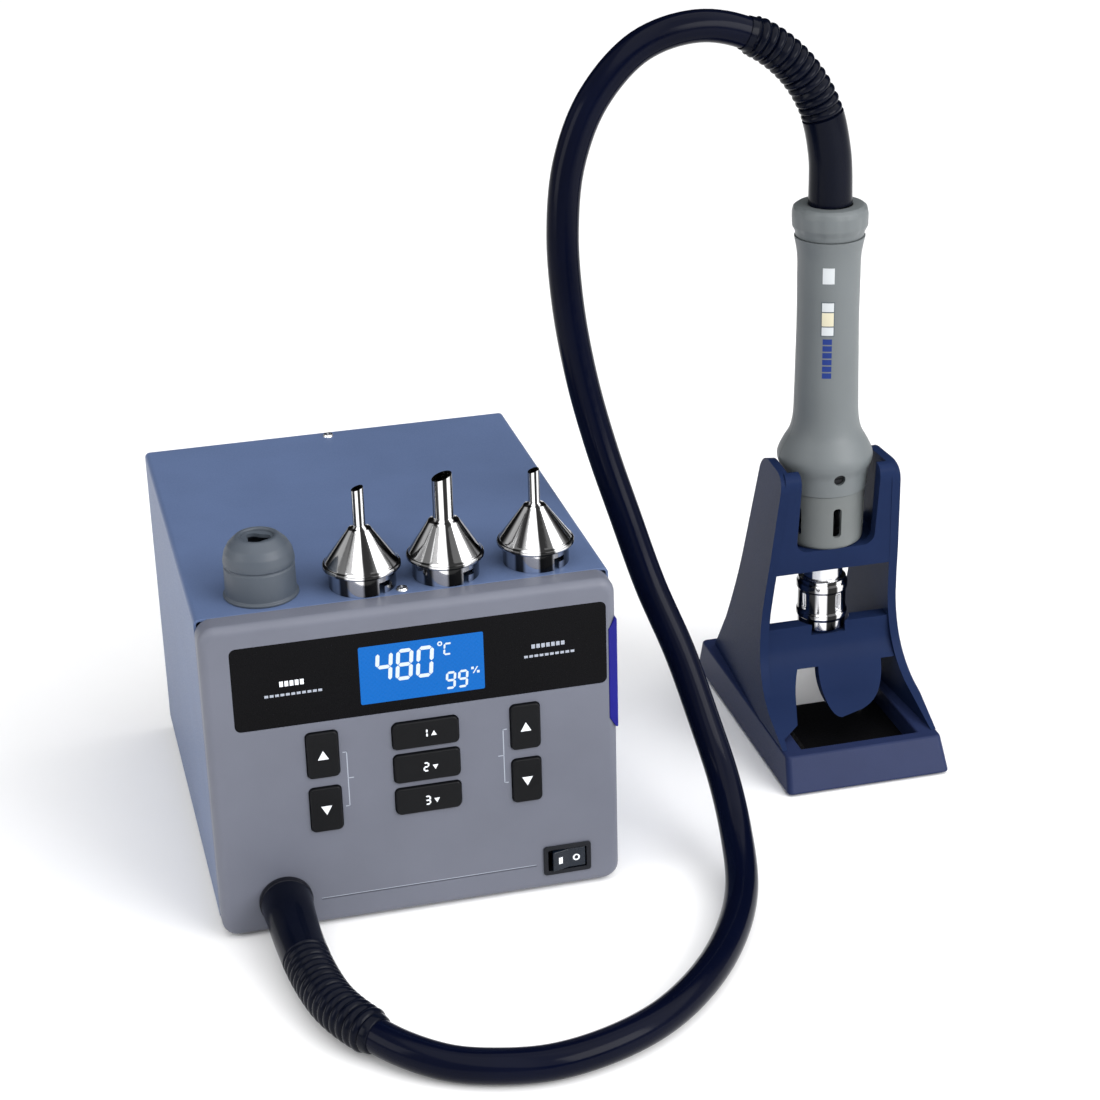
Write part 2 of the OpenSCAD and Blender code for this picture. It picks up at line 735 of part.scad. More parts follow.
module spare_nose_cap() {
    lobes = 3;
    color("#7b7f88") in_case() translate([32.9, 19.7, case_top]) difference() {
        rotate_extrude() polygon([
            [12.4, 0], [17, 0], [17, 1.8], [15, 2.2], [15, 17], [15.8, 18.4], [15.6, 22], [14.2, 26],
            [11.6, 29.6], [9, 31.8], [8, 32.4], [6, 32.4], [6, 28], [12.4, 23]
        ]);
        for (i = [0:lobes - 1]) rotate([0, 0, i * 360 / lobes]) translate([5.4, 0, 27])
            cylinder(r = 2.2, h = 10);
    }
}

// ---- Hose ----

module station_boot() { color("#14182a") route_tube(0, boot_end, boot_r); }
module hose_tube() { color("#14182a") route_tube(boot_end, boot_start, hose_r); }
module handle_boot() { color("#14182a") route_tube(boot_start, route_last, boot_r); }

top_cover();
base_chassis();
rear_panel();
front_bezel();
display_window();
lcd_module();
control_board();
key_switches();
side_badge();
switch_frame();
power_rocker();
hose_gland();
key_heat_up();
key_heat_down();
key_preset_one();
key_preset_two();
key_preset_three();
key_air_up();
key_air_down();
blower_housing();
blower_motor();
impeller();
air_duct();
power_board();
board_components();
triac_heatsink();
board_standoffs();
transformer();
mains_inlet();
inlet_pins();
fuse_drawer();
rubber_feet();
cover_screws();
stand_left_wall();
stand_right_wall();
stand_front_skin();
stand_saddle();
stand_base();
stand_ballast();
stand_feet();
stand_screws();
sleep_magnet();
grip_front_shell();
grip_rear_shell();
hose_collar();
nose_guard();
heater_tube();
heater_core();
grip_screw();
reed_sensor();
fitted_nozzle();
small_nozzle();
wide_nozzle();
fine_nozzle();
spare_nose_cap();
station_boot();
hose_tube();
handle_boot();
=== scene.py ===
import json
import math

import bmesh
import bpy
from mathutils import Matrix, Vector


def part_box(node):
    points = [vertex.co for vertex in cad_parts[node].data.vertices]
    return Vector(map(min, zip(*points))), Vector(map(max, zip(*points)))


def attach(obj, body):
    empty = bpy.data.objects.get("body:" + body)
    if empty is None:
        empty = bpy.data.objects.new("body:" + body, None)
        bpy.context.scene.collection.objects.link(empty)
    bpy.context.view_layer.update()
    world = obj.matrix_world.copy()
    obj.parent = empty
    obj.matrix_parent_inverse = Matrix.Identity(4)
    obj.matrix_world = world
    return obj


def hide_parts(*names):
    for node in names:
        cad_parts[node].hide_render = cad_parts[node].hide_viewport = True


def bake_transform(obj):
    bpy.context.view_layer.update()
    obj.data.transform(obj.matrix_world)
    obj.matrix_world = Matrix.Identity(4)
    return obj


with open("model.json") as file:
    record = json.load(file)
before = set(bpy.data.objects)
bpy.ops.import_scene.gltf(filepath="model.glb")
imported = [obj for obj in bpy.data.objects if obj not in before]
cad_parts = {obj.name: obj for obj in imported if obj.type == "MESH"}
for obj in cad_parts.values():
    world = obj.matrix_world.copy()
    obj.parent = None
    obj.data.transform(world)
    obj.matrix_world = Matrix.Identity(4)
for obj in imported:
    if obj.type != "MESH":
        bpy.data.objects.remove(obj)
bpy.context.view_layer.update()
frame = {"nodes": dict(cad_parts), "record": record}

MM = 0.001
UP = Vector((0, 0, 1))

# ---- Places, taken from the frame ----

cover_lo, cover_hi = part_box("top_cover")
bezel_lo, bezel_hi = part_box("front_bezel")
window_lo, window_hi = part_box("display_window")
gland_lo, gland_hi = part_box("hose_gland")
nose_lo, nose_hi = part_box("nose_guard")

case_x = cover_lo.x
front_y = bezel_lo.y
axis_x = (nose_lo.x + nose_hi.x) / 2
axis_y = (nose_lo.y + nose_hi.y) / 2
gland = Vector(((gland_lo.x + gland_hi.x) / 2, front_y, (gland_lo.z + gland_hi.z) / 2))
COLLAR_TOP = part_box("hose_collar")[1].z

# ---- Camera ----

CAMERA_AT = (-0.2662, -1.0773, 0.618)
CAMERA_ANGLES = (-13.72, 23.98, -1.53)
CAMERA_LENS = 80.64


def make_camera():
    """The camera at the matched viewing angle, turned a little about its own line of sight."""
    azimuth, elevation, roll = (math.radians(a) for a in CAMERA_ANGLES)
    back = Vector((math.sin(azimuth) * math.cos(elevation),
                   -math.cos(azimuth) * math.cos(elevation), math.sin(elevation)))
    right = (-back).cross(UP).normalized()
    up = right.cross(-back)
    tilted_right = math.cos(roll) * right + math.sin(roll) * up
    tilted_up = -math.sin(roll) * right + math.cos(roll) * up
    data = bpy.data.cameras.new("camera")
    data.lens = CAMERA_LENS
    data.sensor_width = 36
    data.clip_end = 200
    camera = bpy.data.objects.new("camera", data)
    turn = Matrix((tilted_right, tilted_up, back)).transposed().to_4x4()
    camera.matrix_world = Matrix.Translation(CAMERA_AT) @ turn
    bpy.context.scene.collection.objects.link(camera)
    bpy.context.scene.camera = camera


make_camera()

# ---- Materials ----


def rgb(r, g, b):
    """A screen colour of 0 to 255 as the linear colour that shaders take."""
    def linear(c):
        c /= 255
        return c / 12.92 if c <= 0.04045 else ((c + 0.055) / 1.055) ** 2.4
    return (linear(r), linear(g), linear(b), 1)


def tint(color, k):
    """A colour made lighter or darker by a factor."""
    return tuple(min(1, c * k) for c in color[:3]) + (1,)


def fill_ramp(ramp, stops):
    """Sets a colour ramp's stops from pairs of place and colour."""
    elements = ramp.color_ramp.elements
    while len(elements) < len(stops):
        elements.new(0.5)
    for element, (place, color) in zip(elements, stops):
        element.position = place
        element.color = color


def surface(name, color, rough, mottle=0.06, mottle_scale=35, grain=900, depth=0.00002, metallic=0.0,
            rough_spread=0.06, coat=0.0, specular=0.5, bands=0, ior=1.5):
    """A moulded, painted or polished surface: colour clouds, uneven gloss and a fine bump."""
    material = bpy.data.materials.new(name)
    material.use_nodes = True
    nodes, links = material.node_tree.nodes, material.node_tree.links
    shader = nodes["Principled BSDF"]
    shader.inputs["Metallic"].default_value = metallic
    shader.inputs["Coat Weight"].default_value = coat
    shader.inputs["Coat Roughness"].default_value = 0.12
    shader.inputs["Specular IOR Level"].default_value = specular
    shader.inputs["IOR"].default_value = ior
    place = nodes.new("ShaderNodeTexCoord").outputs["Object"]
    clouds = nodes.new("ShaderNodeTexNoise")
    clouds.inputs["Scale"].default_value = mottle_scale
    clouds.inputs["Detail"].default_value = 6
    links.new(place, clouds.inputs["Vector"])
    ramp = nodes.new("ShaderNodeValToRGB")
    fill_ramp(ramp, [(0.3, tint(color, 1 - mottle)), (0.7, tint(color, 1 + mottle))])
    links.new(clouds.outputs["Fac"], ramp.inputs["Fac"])
    links.new(ramp.outputs["Color"], shader.inputs["Base Color"])
    gloss = nodes.new("ShaderNodeMapRange")
    gloss.inputs["From Min"].default_value = 0.3
    gloss.inputs["From Max"].default_value = 0.7
    gloss.inputs["To Min"].default_value = max(0.02, rough - rough_spread)
    gloss.inputs["To Max"].default_value = min(1, rough + rough_spread)
    fine = nodes.new("ShaderNodeTexNoise")
    fine.inputs["Scale"].default_value = grain
    fine.inputs["Detail"].default_value = 3
    links.new(place, fine.inputs["Vector"])
    links.new(fine.outputs["Fac"], gloss.inputs["Value"])
    links.new(gloss.outputs["Result"], shader.inputs["Roughness"])
    bump = nodes.new("ShaderNodeBump")
    bump.inputs["Strength"].default_value = 1
    bump.inputs["Distance"].default_value = depth
    if bands:
        rings = nodes.new("ShaderNodeTexWave")
        rings.bands_direction = "Z"
        rings.inputs["Scale"].default_value = bands
        rings.inputs["Distortion"].default_value = 1.5
        links.new(place, rings.inputs["Vector"])
        links.new(rings.outputs["Fac"], bump.inputs["Height"])
    else:
        links.new(fine.outputs["Fac"], bump.inputs["Height"])
    links.new(bump.outputs["Normal"], shader.inputs["Normal"])
    return material


def lit_panel(name, color, strength, grid):
    """A backlit display: even light with a faint cloud and a fine dot grid."""
    material = surface(name, tint(color, 0.15), 0.3, mottle=0.05, mottle_scale=60, specular=0.15)
    nodes, links = material.node_tree.nodes, material.node_tree.links
    shader = nodes["Principled BSDF"]
    dots = nodes.new("ShaderNodeTexChecker")
    dots.inputs["Scale"].default_value = grid
    dots.inputs["Color1"].default_value = tint(color, 0.97)
    dots.inputs["Color2"].default_value = tint(color, 1.04)
    links.new(nodes.new("ShaderNodeTexCoord").outputs["Object"], dots.inputs["Vector"])
    links.new(dots.outputs["Color"], shader.inputs["Emission Color"])
    shader.inputs["Emission Strength"].default_value = strength
    return material


# Painted reflections for polished chrome, as dark and bright streaks of base colour round a turned piece:
# share of a full turn, brightness
CHROME_PAINTED_REFLECTIONS = [
    (0.00, 0.14), (0.034, 0.14), (0.06, 0.6), (0.10, 0.55), (0.114, 0.04), (0.148, 0.05), (0.165, 0.9),
    (0.222, 0.95), (0.234, 0.02), (0.292, 0.02), (0.305, 0.75), (0.35, 0.7), (0.375, 0.1), (0.45, 0.2),
    (0.55, 0.85), (0.65, 0.8), (0.68, 0.08), (0.74, 0.08), (0.77, 0.9), (0.86, 0.85), (0.90, 0.1)
]


def painted_reflection_chrome(name, rough):
    """Polished chrome with painted reflections: dark and bright streaks in its base colour that follow which
    way the surface faces.
    """
    material = surface(name, (0.9, 0.9, 0.9, 1), rough, metallic=1.0, mottle=0.03, rough_spread=0.03,
                       depth=0.000002)
    nodes, links = material.node_tree.nodes, material.node_tree.links
    # Painted reflections: the ramp below sets dark and bright streaks in the base colour by which way the
    # surface faces.
    turn = nodes.new("ShaderNodeTexGradient")
    turn.gradient_type = "RADIAL"
    links.new(nodes.new("ShaderNodeTexCoord").outputs["Normal"], turn.inputs["Vector"])
    ramp = nodes.new("ShaderNodeValToRGB")
    fill_ramp(ramp, [(place, (v, v, v * 1.01, 1)) for place, v in CHROME_PAINTED_REFLECTIONS])
    links.new(turn.outputs["Fac"], ramp.inputs["Fac"])
    links.new(ramp.outputs["Color"], nodes["Principled BSDF"].inputs["Base Color"])
    return material


def circuit(name):
    """Green solder mask with paler tracks."""
    material = surface(name, rgb(24, 96, 48), 0.3, coat=0.4)
    nodes, links = material.node_tree.nodes, material.node_tree.links
    tracks = nodes.new("ShaderNodeTexBrick")
    tracks.inputs["Scale"].default_value = 120
    tracks.inputs["Mortar Size"].default_value = 0.03
    tracks.inputs["Color1"].default_value = rgb(22, 92, 46)
    tracks.inputs["Color2"].default_value = rgb(26, 104, 52)
    tracks.inputs["Mortar"].default_value = rgb(70, 140, 70)
    links.new(nodes.new("ShaderNodeTexCoord").outputs["Object"], tracks.inputs["Vector"])
    links.new(tracks.outputs["Color"], nodes["Principled BSDF"].inputs["Base Color"])
    return material


FINISHES = {
    "case_paint": dict(color=rgb(82, 98, 131), rough=0.42, specular=0.3, ior=1.4, mottle=0.05,
                       grain=1400, depth=0.00003),
    "rear_paint": dict(color=rgb(78, 92, 122), rough=0.5, grain=1400, depth=0.00003),
    "chassis_steel": dict(color=rgb(176, 180, 186), rough=0.38, metallic=1.0, mottle=0.12, mottle_scale=90),
    "bezel_plastic": dict(color=rgb(94, 97, 109), rough=0.46, specular=0.4, mottle=0.04,
                          grain=2200, depth=0.00004),
    "window_black": dict(color=rgb(3, 3, 5), rough=0.3, mottle=0.2, specular=0.08, depth=0.000004),
    "switch_black": dict(color=rgb(12, 15, 22), rough=0.35, specular=0.2, depth=0.00002),
    "badge_blue": dict(color=rgb(13, 13, 112), rough=0.35, mottle=0.08, specular=0.2),
    "key_black": dict(color=rgb(7, 8, 11), rough=0.45, specular=0.15, mottle=0.15, grain=1800,
                      depth=0.00003),
    "rocker_black": dict(color=rgb(10, 20, 32), rough=0.3, mottle=0.12, specular=0.3),
    "gland_black": dict(color=rgb(8, 9, 18), rough=0.34, specular=0.22),
    "blower_black": dict(color=rgb(34, 36, 42), rough=0.5),
    "motor_steel": dict(color=rgb(170, 175, 182), rough=0.35, metallic=1.0),
    "impeller_white": dict(color=rgb(205, 207, 212), rough=0.4),
    "component_mix": dict(color=rgb(44, 74, 122), rough=0.35, mottle=0.3, mottle_scale=60),
    "heatsink_alu": dict(color=rgb(182, 186, 192), rough=0.4, metallic=1.0, bands=600),
    "standoff_brass": dict(color=rgb(200, 168, 96), rough=0.3, metallic=1.0),
    "transformer_core": dict(color=rgb(110, 78, 44), rough=0.55, mottle=0.25, bands=900),
    "inlet_black": dict(color=rgb(26, 27, 30), rough=0.4, grain=1600, depth=0.00003),
    "pin_metal": dict(color=rgb(205, 206, 210), rough=0.25, metallic=1.0),
    "foot_rubber": dict(color=rgb(24, 24, 27), rough=0.7, mottle=0.15, depth=0.00005),
    "screw_steel": dict(color=rgb(214, 216, 220), rough=0.25, metallic=1.0, mottle=0.1),
    "screw_dark": dict(color=rgb(22, 23, 26), rough=0.45, metallic=0.6, mottle=0.1),
    "stand_blue": dict(color=rgb(26, 38, 68), rough=0.34, specular=0.3, ior=1.12, mottle=0.06,
                       grain=1500, depth=0.00004),
    "stand_base_blue": dict(color=rgb(33, 42, 73), rough=0.4, specular=0.4, ior=1.25, mottle=0.06,
                            grain=1500, depth=0.00004),
    # The ballast's near-black is partly its own dark finish and partly painted shade for the hollow inside
    # the stand's base.
    "ballast_black": dict(color=rgb(5, 5, 7), rough=0.6, mottle=0.3, specular=0.1, grain=700, depth=0.0001),
    "magnet_grey": dict(color=rgb(170, 171, 174), rough=0.3, metallic=1.0),
    "grip_grey": dict(color=rgb(96, 101, 103), rough=0.45, specular=0.35, mottle=0.04, grain=2200,
                      depth=0.00004),
    "nose_grey": dict(color=rgb(96, 100, 100), rough=0.45, specular=0.35, mottle=0.05, grain=2200,
                      depth=0.00004),
    "cap_slate": dict(color=rgb(66, 73, 82), rough=0.44, specular=0.35, mottle=0.05, grain=2200,
                      depth=0.00004),
    "heater_steel": dict(color=rgb(222, 223, 226), rough=0.14, metallic=1.0, mottle=0.05,
                         bands=700, depth=0.000004),
    "heater_ceramic": dict(color=rgb(224, 218, 202), rough=0.7, mottle=0.06),
    "hose_rubber": dict(color=rgb(4, 7, 24), rough=0.16, mottle=0.15, mottle_scale=25, grain=500,
                        depth=0.000005, specular=0.5, ior=1.16, rough_spread=0.03),
    "boot_rubber": dict(color=rgb(4, 7, 20), rough=0.2, mottle=0.15, grain=600, depth=0.000005,
                        specular=0.5, ior=1.18, rough_spread=0.03),
    "print_white": dict(color=rgb(226, 230, 236), rough=0.5, mottle=0.05),
    "print_faint": dict(color=rgb(150, 156, 168), rough=0.5, mottle=0.05),
    "label_white": dict(color=rgb(186, 190, 193), rough=0.45, specular=0.2, mottle=0.04),
    "label_cream": dict(color=rgb(196, 190, 166), rough=0.45, specular=0.2, mottle=0.06),
    "label_dark": dict(color=rgb(70, 78, 84), rough=0.4, mottle=0.06),
    "label_blue": dict(color=rgb(24, 46, 110), rough=0.45, specular=0.2, mottle=0.12),
    "hole_black": dict(color=rgb(6, 7, 9), rough=0.8, mottle=0.2, specular=0.1),
}
MATERIALS = {name: surface(name, **finish) for name, finish in FINISHES.items()}
MATERIALS["lcd_blue"] = lit_panel("lcd_blue", rgb(0, 110, 204), 0.78, 900)
MATERIALS["lcd_white"] = lit_panel("lcd_white", rgb(235, 246, 255), 0.8, 900)
MATERIALS["pcb_green"] = circuit("pcb_green")
# The nozzles' chrome carries painted reflections in its base colour.
MATERIALS["nozzle_chrome"] = painted_reflection_chrome("nozzle_chrome", 0.1)

for entry in frame["record"]["subparts"]:
    node = frame["nodes"][entry["node"]]
    node.data.materials.clear()
    finish = "screw_dark" if entry["node"] == "grip_screw" else entry["material_slot"]
    node.data.materials.append(MATERIALS[finish])

# ---- Mesh tools ----


def made(name, bm, slot, body, node=None):
    """Turns a bmesh into a piece that rides on a body and stands for a CAD node."""
    bmesh.ops.remove_doubles(bm, verts=bm.verts, dist=1e-7)
    bmesh.ops.recalc_face_normals(bm, faces=bm.faces)
    mesh = bpy.data.meshes.new(name)
    bm.to_mesh(mesh)
    bm.free()
    piece = bpy.data.objects.new(name, mesh)
    bpy.context.scene.collection.objects.link(piece)
    mesh.materials.append(MATERIALS[slot])
    if body:
        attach(piece, body)
    for n in [node] if isinstance(node, str) else node or []:
        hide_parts(n)
    return piece


def settle(piece):
    """Applies the piece's modifiers to its mesh."""
    bpy.context.view_layer.update()
    shaped = piece.evaluated_get(bpy.context.evaluated_depsgraph_get())
    mesh = bpy.data.meshes.new_from_object(shaped)
    piece.modifiers.clear()
    old = piece.data
    piece.data = mesh
    bpy.data.meshes.remove(old)
    mesh.name = piece.name


def smooth(piece, angle=35):
    """Shades a piece smoothly, apart from its edges sharper than angle."""
    piece.data.polygons.foreach_set("use_smooth", [True] * len(piece.data.polygons))
    piece.data.set_sharp_from_angle(angle=math.radians(angle))


def bevel(piece, width, segments=3, angle=32):
    """Rounds every edge sharper than angle."""
    modifier = piece.modifiers.new("bevel", "BEVEL")
    modifier.width = width
    modifier.segments = segments
    modifier.limit_method = "ANGLE"
    modifier.angle_limit = math.radians(angle)
    modifier.use_clamp_overlap = True
    modifier.harden_normals = False
    settle(piece)
    smooth(piece, 50)
    weighted = piece.modifiers.new("weighted", "WEIGHTED_NORMAL")
    weighted.keep_sharp = True
    weighted.weight = 80
    settle(piece)
    return piece


def combine(piece, others, operation):
    """Cuts, joins or intersects a piece with other meshes, which are used up."""
    for other in others:
        modifier = piece.modifiers.new("combine", "BOOLEAN")
        modifier.operation = operation
        modifier.solver = "EXACT"
        modifier.object = other
        settle(piece)
        bpy.data.objects.remove(other)
    return piece


def cut(piece, cutters):
    """Takes the cutters out of a piece."""
    return combine(piece, cutters, "DIFFERENCE")


def block(name, lo, hi, slot="hole_black", body=None, node=None):
    """A plain box, used to cut and join other pieces."""
    bm = bmesh.new()
    bmesh.ops.create_cube(bm, size=1)
    for v in bm.verts:
        v.co = Vector(lo[i] + (v.co[i] + 0.5) * (hi[i] - lo[i]) for i in range(3))
    return made(name, bm, slot, body, node)


def rounded(w, h, r, steps=6):
    """Outline of a rectangle with round corners, its lower left corner at the origin."""
    points = []
    for cx, cy, start in ((w - r, r, -90), (w - r, h - r, 0), (r, h - r, 90), (r, r, 180)):
        for i in range(steps + 1):
            a = math.radians(start + 90 * i / steps)
            points.append((cx + r * math.cos(a), cy + r * math.sin(a)))
    return points


def join_loops(bm, a, b):
    """Faces between two loops of as many corners."""
    for i in range(len(a)):
        j = (i + 1) % len(a)
        bm.faces.new((a[i], a[j], b[j], b[i]))


def raise_outline(bm, outline, place, depth):
    """A closed solid from an outline, with its two ends at heights 0 and depth."""
    low, high = ([bm.verts.new(place(u, v, h)) for u, v in outline] for h in (0, depth))
    bm.faces.new(low)
    bm.faces.new(high)
    join_loops(bm, low, high)


def prism(name, outline, place, depth, slot="hole_black", body=None, node=None):
    """An outline raised from its plane: place turns (u, v, height) into the row frame."""
    bm = bmesh.new()
    raise_outline(bm, outline, place, depth)
    return made(name, bm, slot, body, node)


def on_front(y=0.0):
    """Places an outline on the bezel's front, height towards the viewer."""
    return lambda u, v, h: Vector((case_x + u, front_y + y - h, v))


def lathe(name, profile, slot, body=None, node=None, at=(0, 0), segments=96, start=0, sweep=360):
    """Turns a closed outline of (radius, height) about a vertical axis."""
    bm = bmesh.new()
    whole = sweep >= 360
    count = segments if whole else segments + 1
    rings = []
    for i in range(count):
        a = math.radians(start + sweep * i / segments)
        rings.append([bm.verts.new((at[0] + r * math.cos(a), at[1] + r * math.sin(a), z))
                      for r, z in profile])
    n = len(profile)
    for i in range(segments):
        a, b = rings[i], rings[(i + 1) % count]
        for j in range(n):
            k = (j + 1) % n
            corners = [a[j], b[j], b[k], a[k]]
            if (a[j].co - b[j].co).length > 1e-7 or (a[k].co - b[k].co).length > 1e-7:
                bm.faces.new(corners)
    if not whole:
        bm.faces.new(rings[0])
        bm.faces.new(rings[-1])
    return made(name, bm, slot, body, node)


def softened(profile, radius, steps=4):
    """Rounds the corners of a closed outline with arcs of about the given radius."""
    out = []
    n = len(profile)
    for i in range(n):
        p, a, b = Vector(profile[i]), Vector(profile[i - 1]), Vector(profile[(i + 1) % n])
        r = min(radius, (a - p).length * 0.45, (b - p).length * 0.45)
        s, e = p + (a - p).normalized() * r, p + (b - p).normalized() * r
        for k in range(steps + 1):
            t = k / steps
            out.append(tuple((1 - t) ** 2 * s + 2 * t * (1 - t) * p + t * t * e))
    return out


def bend(a, b, c, steps=12):
    """Points of a curve from a to c that heads for b on its way."""
    a, b, c = Vector(a), Vector(b), Vector(c)
    return [tuple((1 - t) ** 2 * a + 2 * t * (1 - t) * b + t * t * c)
            for t in (i / steps for i in range(steps + 1))]


def scaled(profile, dz=0.0):
    """A profile in millimetres as metres, lifted by dz."""
    return [(r * MM, z * MM + dz) for r, z in profile]


def spline(points, step):
    """A smooth line through the points, with a point about every step."""
    out = []
    n = len(points)
    for i in range(n - 1):
        p0 = points[i - 1] if i else 2 * points[0] - points[1]
        p1, p2 = points[i], points[i + 1]
        p3 = points[i + 2] if i + 2 < n else 2 * points[-1] - points[-2]
        pieces = max(1, round((p2 - p1).length / step))
        t1 = (p1 - p0).length ** 0.5
        t2 = t1 + (p2 - p1).length ** 0.5
        t3 = t2 + (p3 - p2).length ** 0.5
        for k in range(pieces):
            t = t1 + (t2 - t1) * k / pieces
            a1 = p0 * ((t1 - t) / t1) + p1 * (t / t1)
            a2 = p1 * ((t2 - t) / (t2 - t1)) + p2 * ((t - t1) / (t2 - t1))
            a3 = p2 * ((t3 - t) / (t3 - t2)) + p3 * ((t - t2) / (t3 - t2))
            b1 = a1 * ((t2 - t) / t2) + a2 * (t / t2)
            b2 = a2 * ((t3 - t) / (t3 - t1)) + a3 * ((t - t1) / (t3 - t1))
            out.append(b1 * ((t2 - t) / (t2 - t1)) + b2 * ((t - t1) / (t2 - t1)))
    out.append(points[-1])
    return out


def along(points):
    """Distance from the first point to each point."""
    total, out = 0.0, [0.0]
    for a, b in zip(points, points[1:]):
        total += (b - a).length
        out.append(total)
    return out


def tube(name, points, radius_at, sides, slot, body=None, node=None):
    """A closed tube whose radius follows the distance along its line."""
    bm = bmesh.new()
    distance = along(points)
    side = Vector((1, 0, 0))
    rings = []
    for i, p in enumerate(points):
        a, b = points[max(i - 1, 0)], points[min(i + 1, len(points) - 1)]
        t = (b - a).normalized()
        side = (side - side.dot(t) * t).normalized()
        other = t.cross(side)
        r = radius_at(distance[i])
        rings.append([bm.verts.new(p + r * (math.cos(q) * side + math.sin(q) * other))
                      for q in (2 * math.pi * k / sides for k in range(sides))])
    for a, b in zip(rings, rings[1:]):
        join_loops(bm, a, b)
    bm.faces.new(rings[0])
    bm.faces.new(rings[-1])
    return made(name, bm, slot, body, node)


# ---- Hose and its ribbed boots ----

# Points of the hose's middle line in millimetres, from the gland to the handpiece
HOSE_ROUTE = [
    tuple(c / MM for c in gland), (-158.5, -125, 17), (-157.5, -143, 14),
    (-155, -166, 11.5), (-150, -190, 11), (-141, -210, 11), (-128, -227, 9.5), (-110, -241, 8),
    (-90, -249, 8), (-70, -252, 8), (-46, -248, 8), (-19, -236, 8), (7, -214, 8),
    (31, -182, 8), (48, -147, 10), (56, -114, 19), (58, -89, 34), (54, -69, 58),
    (47, -53, 87), (37, -38, 117), (28, -27, 150), (19, -17, 184), (12, -9, 218),
    (8, -2, 253), (8, 4, 286), (13, 8, 317), (26, 11, 345), (49, 13, 367),
    (77, 14, 374), (103, 15, 368), (124, 15, 353), (138, 15, 332), (144, 15, 308),
    (axis_x / MM, axis_y / MM, 283)
]
# Metres: the hose, the spacing of its points, its boots' lengths and their ribs' spacing
HOSE_RADIUS = 0.0077
HOSE_STEP = 0.0035
BOOT_STEP = 0.0005
STATION_BOOT = 0.112
HANDLE_BOOT = 0.104
RIB_PITCH = 0.0042
BOOT_LIP = 0.004


def stretch(points, first, last):
    """The part of a line between two distances from its start."""
    return [p for p, d in zip(points, along(points)) if first <= d <= last]


def ribbed(length, smooth_to, neck, body_r, rib_r, end_r):
    """Radius along a boot from its root: a smooth neck, then rounded ribs, then a thin lip."""
    def radius(d):
        if d < smooth_to:
            t = d / smooth_to
            return neck + (body_r - neck) * (1 - (1 - t) ** 2)
        if d > length - BOOT_LIP:
            return end_r + (rib_r - end_r) * max(0, (length - d) / BOOT_LIP) ** 0.5
        phase = ((d - smooth_to) / RIB_PITCH) % 1
        crest = abs(math.sin(math.pi * phase)) ** 0.6
        taper = (d - smooth_to) / (length - smooth_to)
        return rib_r + (body_r - rib_r) * crest - 0.0006 * taper
    return radius


def make_hose():
    """The hose in one sweep from the gland to the handpiece, with a boot on each end."""
    corners = [Vector(p) * MM for p in HOSE_ROUTE]
    line = spline(corners, HOSE_STEP)
    length = along(line)[-1]
    hose = tube("air_hose", line, lambda d: HOSE_RADIUS, 32, "hose_rubber", node="hose_tube")
    smooth(hose, 60)
    fine = spline(corners, BOOT_STEP)
    station = tube("hose_boot_at_station", stretch(fine, 0, STATION_BOOT),
                   ribbed(STATION_BOOT, 0.045, 0.0121, 0.0108, 0.0093, 0.0081), 48, "boot_rubber",
                   "station", "station_boot")
    back = list(reversed(fine))
    handle = tube("hose_boot_at_handle", stretch(back, 0, HANDLE_BOOT),
                  ribbed(HANDLE_BOOT, 0.044, 0.0108, 0.0103, 0.0085, 0.0081), 48, "boot_rubber",
                  "handpiece", "handle_boot")
    for boot in (station, handle):
        smooth(boot, 60)
    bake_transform(hose)


make_hose()

# ---- Control box ----


def make_cover():
    """The folded sheet-metal cover: an upside-down U with rounded folds."""
    w, h = cover_hi.x - cover_lo.x, cover_hi.z - cover_lo.z
    sheet, fold, steps = 1.2 * MM, 2.6 * MM, 6
    outer, inner = [], []
    for cx, start in ((w - fold, 0), (fold, 90)):
        for i in range(steps + 1):
            a = math.radians(start + 90 * i / steps)
            outer.append((cx + fold * math.cos(a), h - fold + fold * math.sin(a)))
            inner.append((cx + (fold - sheet) * math.cos(a), h - fold + (fold - sheet) * math.sin(a)))
    outline = [(w, 0)] + outer + [(0, 0), (sheet, 0)] + inner[::-1] + [(w - sheet, 0)]
    cover = prism("case_cover", outline, lambda u, v, d: Vector((cover_lo.x + u, cover_lo.y + d,
                  cover_lo.z + v)), cover_hi.y - cover_lo.y, "case_paint", "station", "top_cover")
    slots = []
    for i in range(6):
        y = cover_lo.y + (130 + 9 * i) * MM
        slots.append(prism("slot", rounded(3 * MM, 14 * MM, 1.4 * MM), lambda u, v, d, y=y: Vector((
            cover_hi.x - 5 * MM + d, y + u, 60 * MM + v)), 10 * MM))
    cut(cover, slots)
    bevel(cover, 0.25 * MM, 2)


def face_outline(lo, hi, inset, r, steps=6):
    """A box seen from the front as a rounded outline, drawn in by inset, both in millimetres."""
    edge = inset * MM
    shape = rounded(hi.x - lo.x - 2 * edge, hi.z - lo.z - 2 * edge, r * MM, steps)
    return [(u + lo.x - case_x + edge, v + lo.z + edge) for u, v in shape]


BEZEL_ROUND = 4.2
BEZEL_CORNER = 7.5
KEY_NODES = ["key_heat_up", "key_heat_down", "key_preset_one", "key_preset_two", "key_preset_three",
             "key_air_up", "key_air_down"]
KEY_GAP = 0.35
KEY_FLANGE = 0.9


def key_face(node):
    """Left, bottom, width and height in millimetres of the hole that a key shows in."""
    lo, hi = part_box(node)
    return ((lo.x - case_x) / MM + KEY_FLANGE, lo.z / MM + KEY_FLANGE,
            (hi.x - lo.x) / MM - 2 * KEY_FLANGE, (hi.z - lo.z) / MM - 2 * KEY_FLANGE)


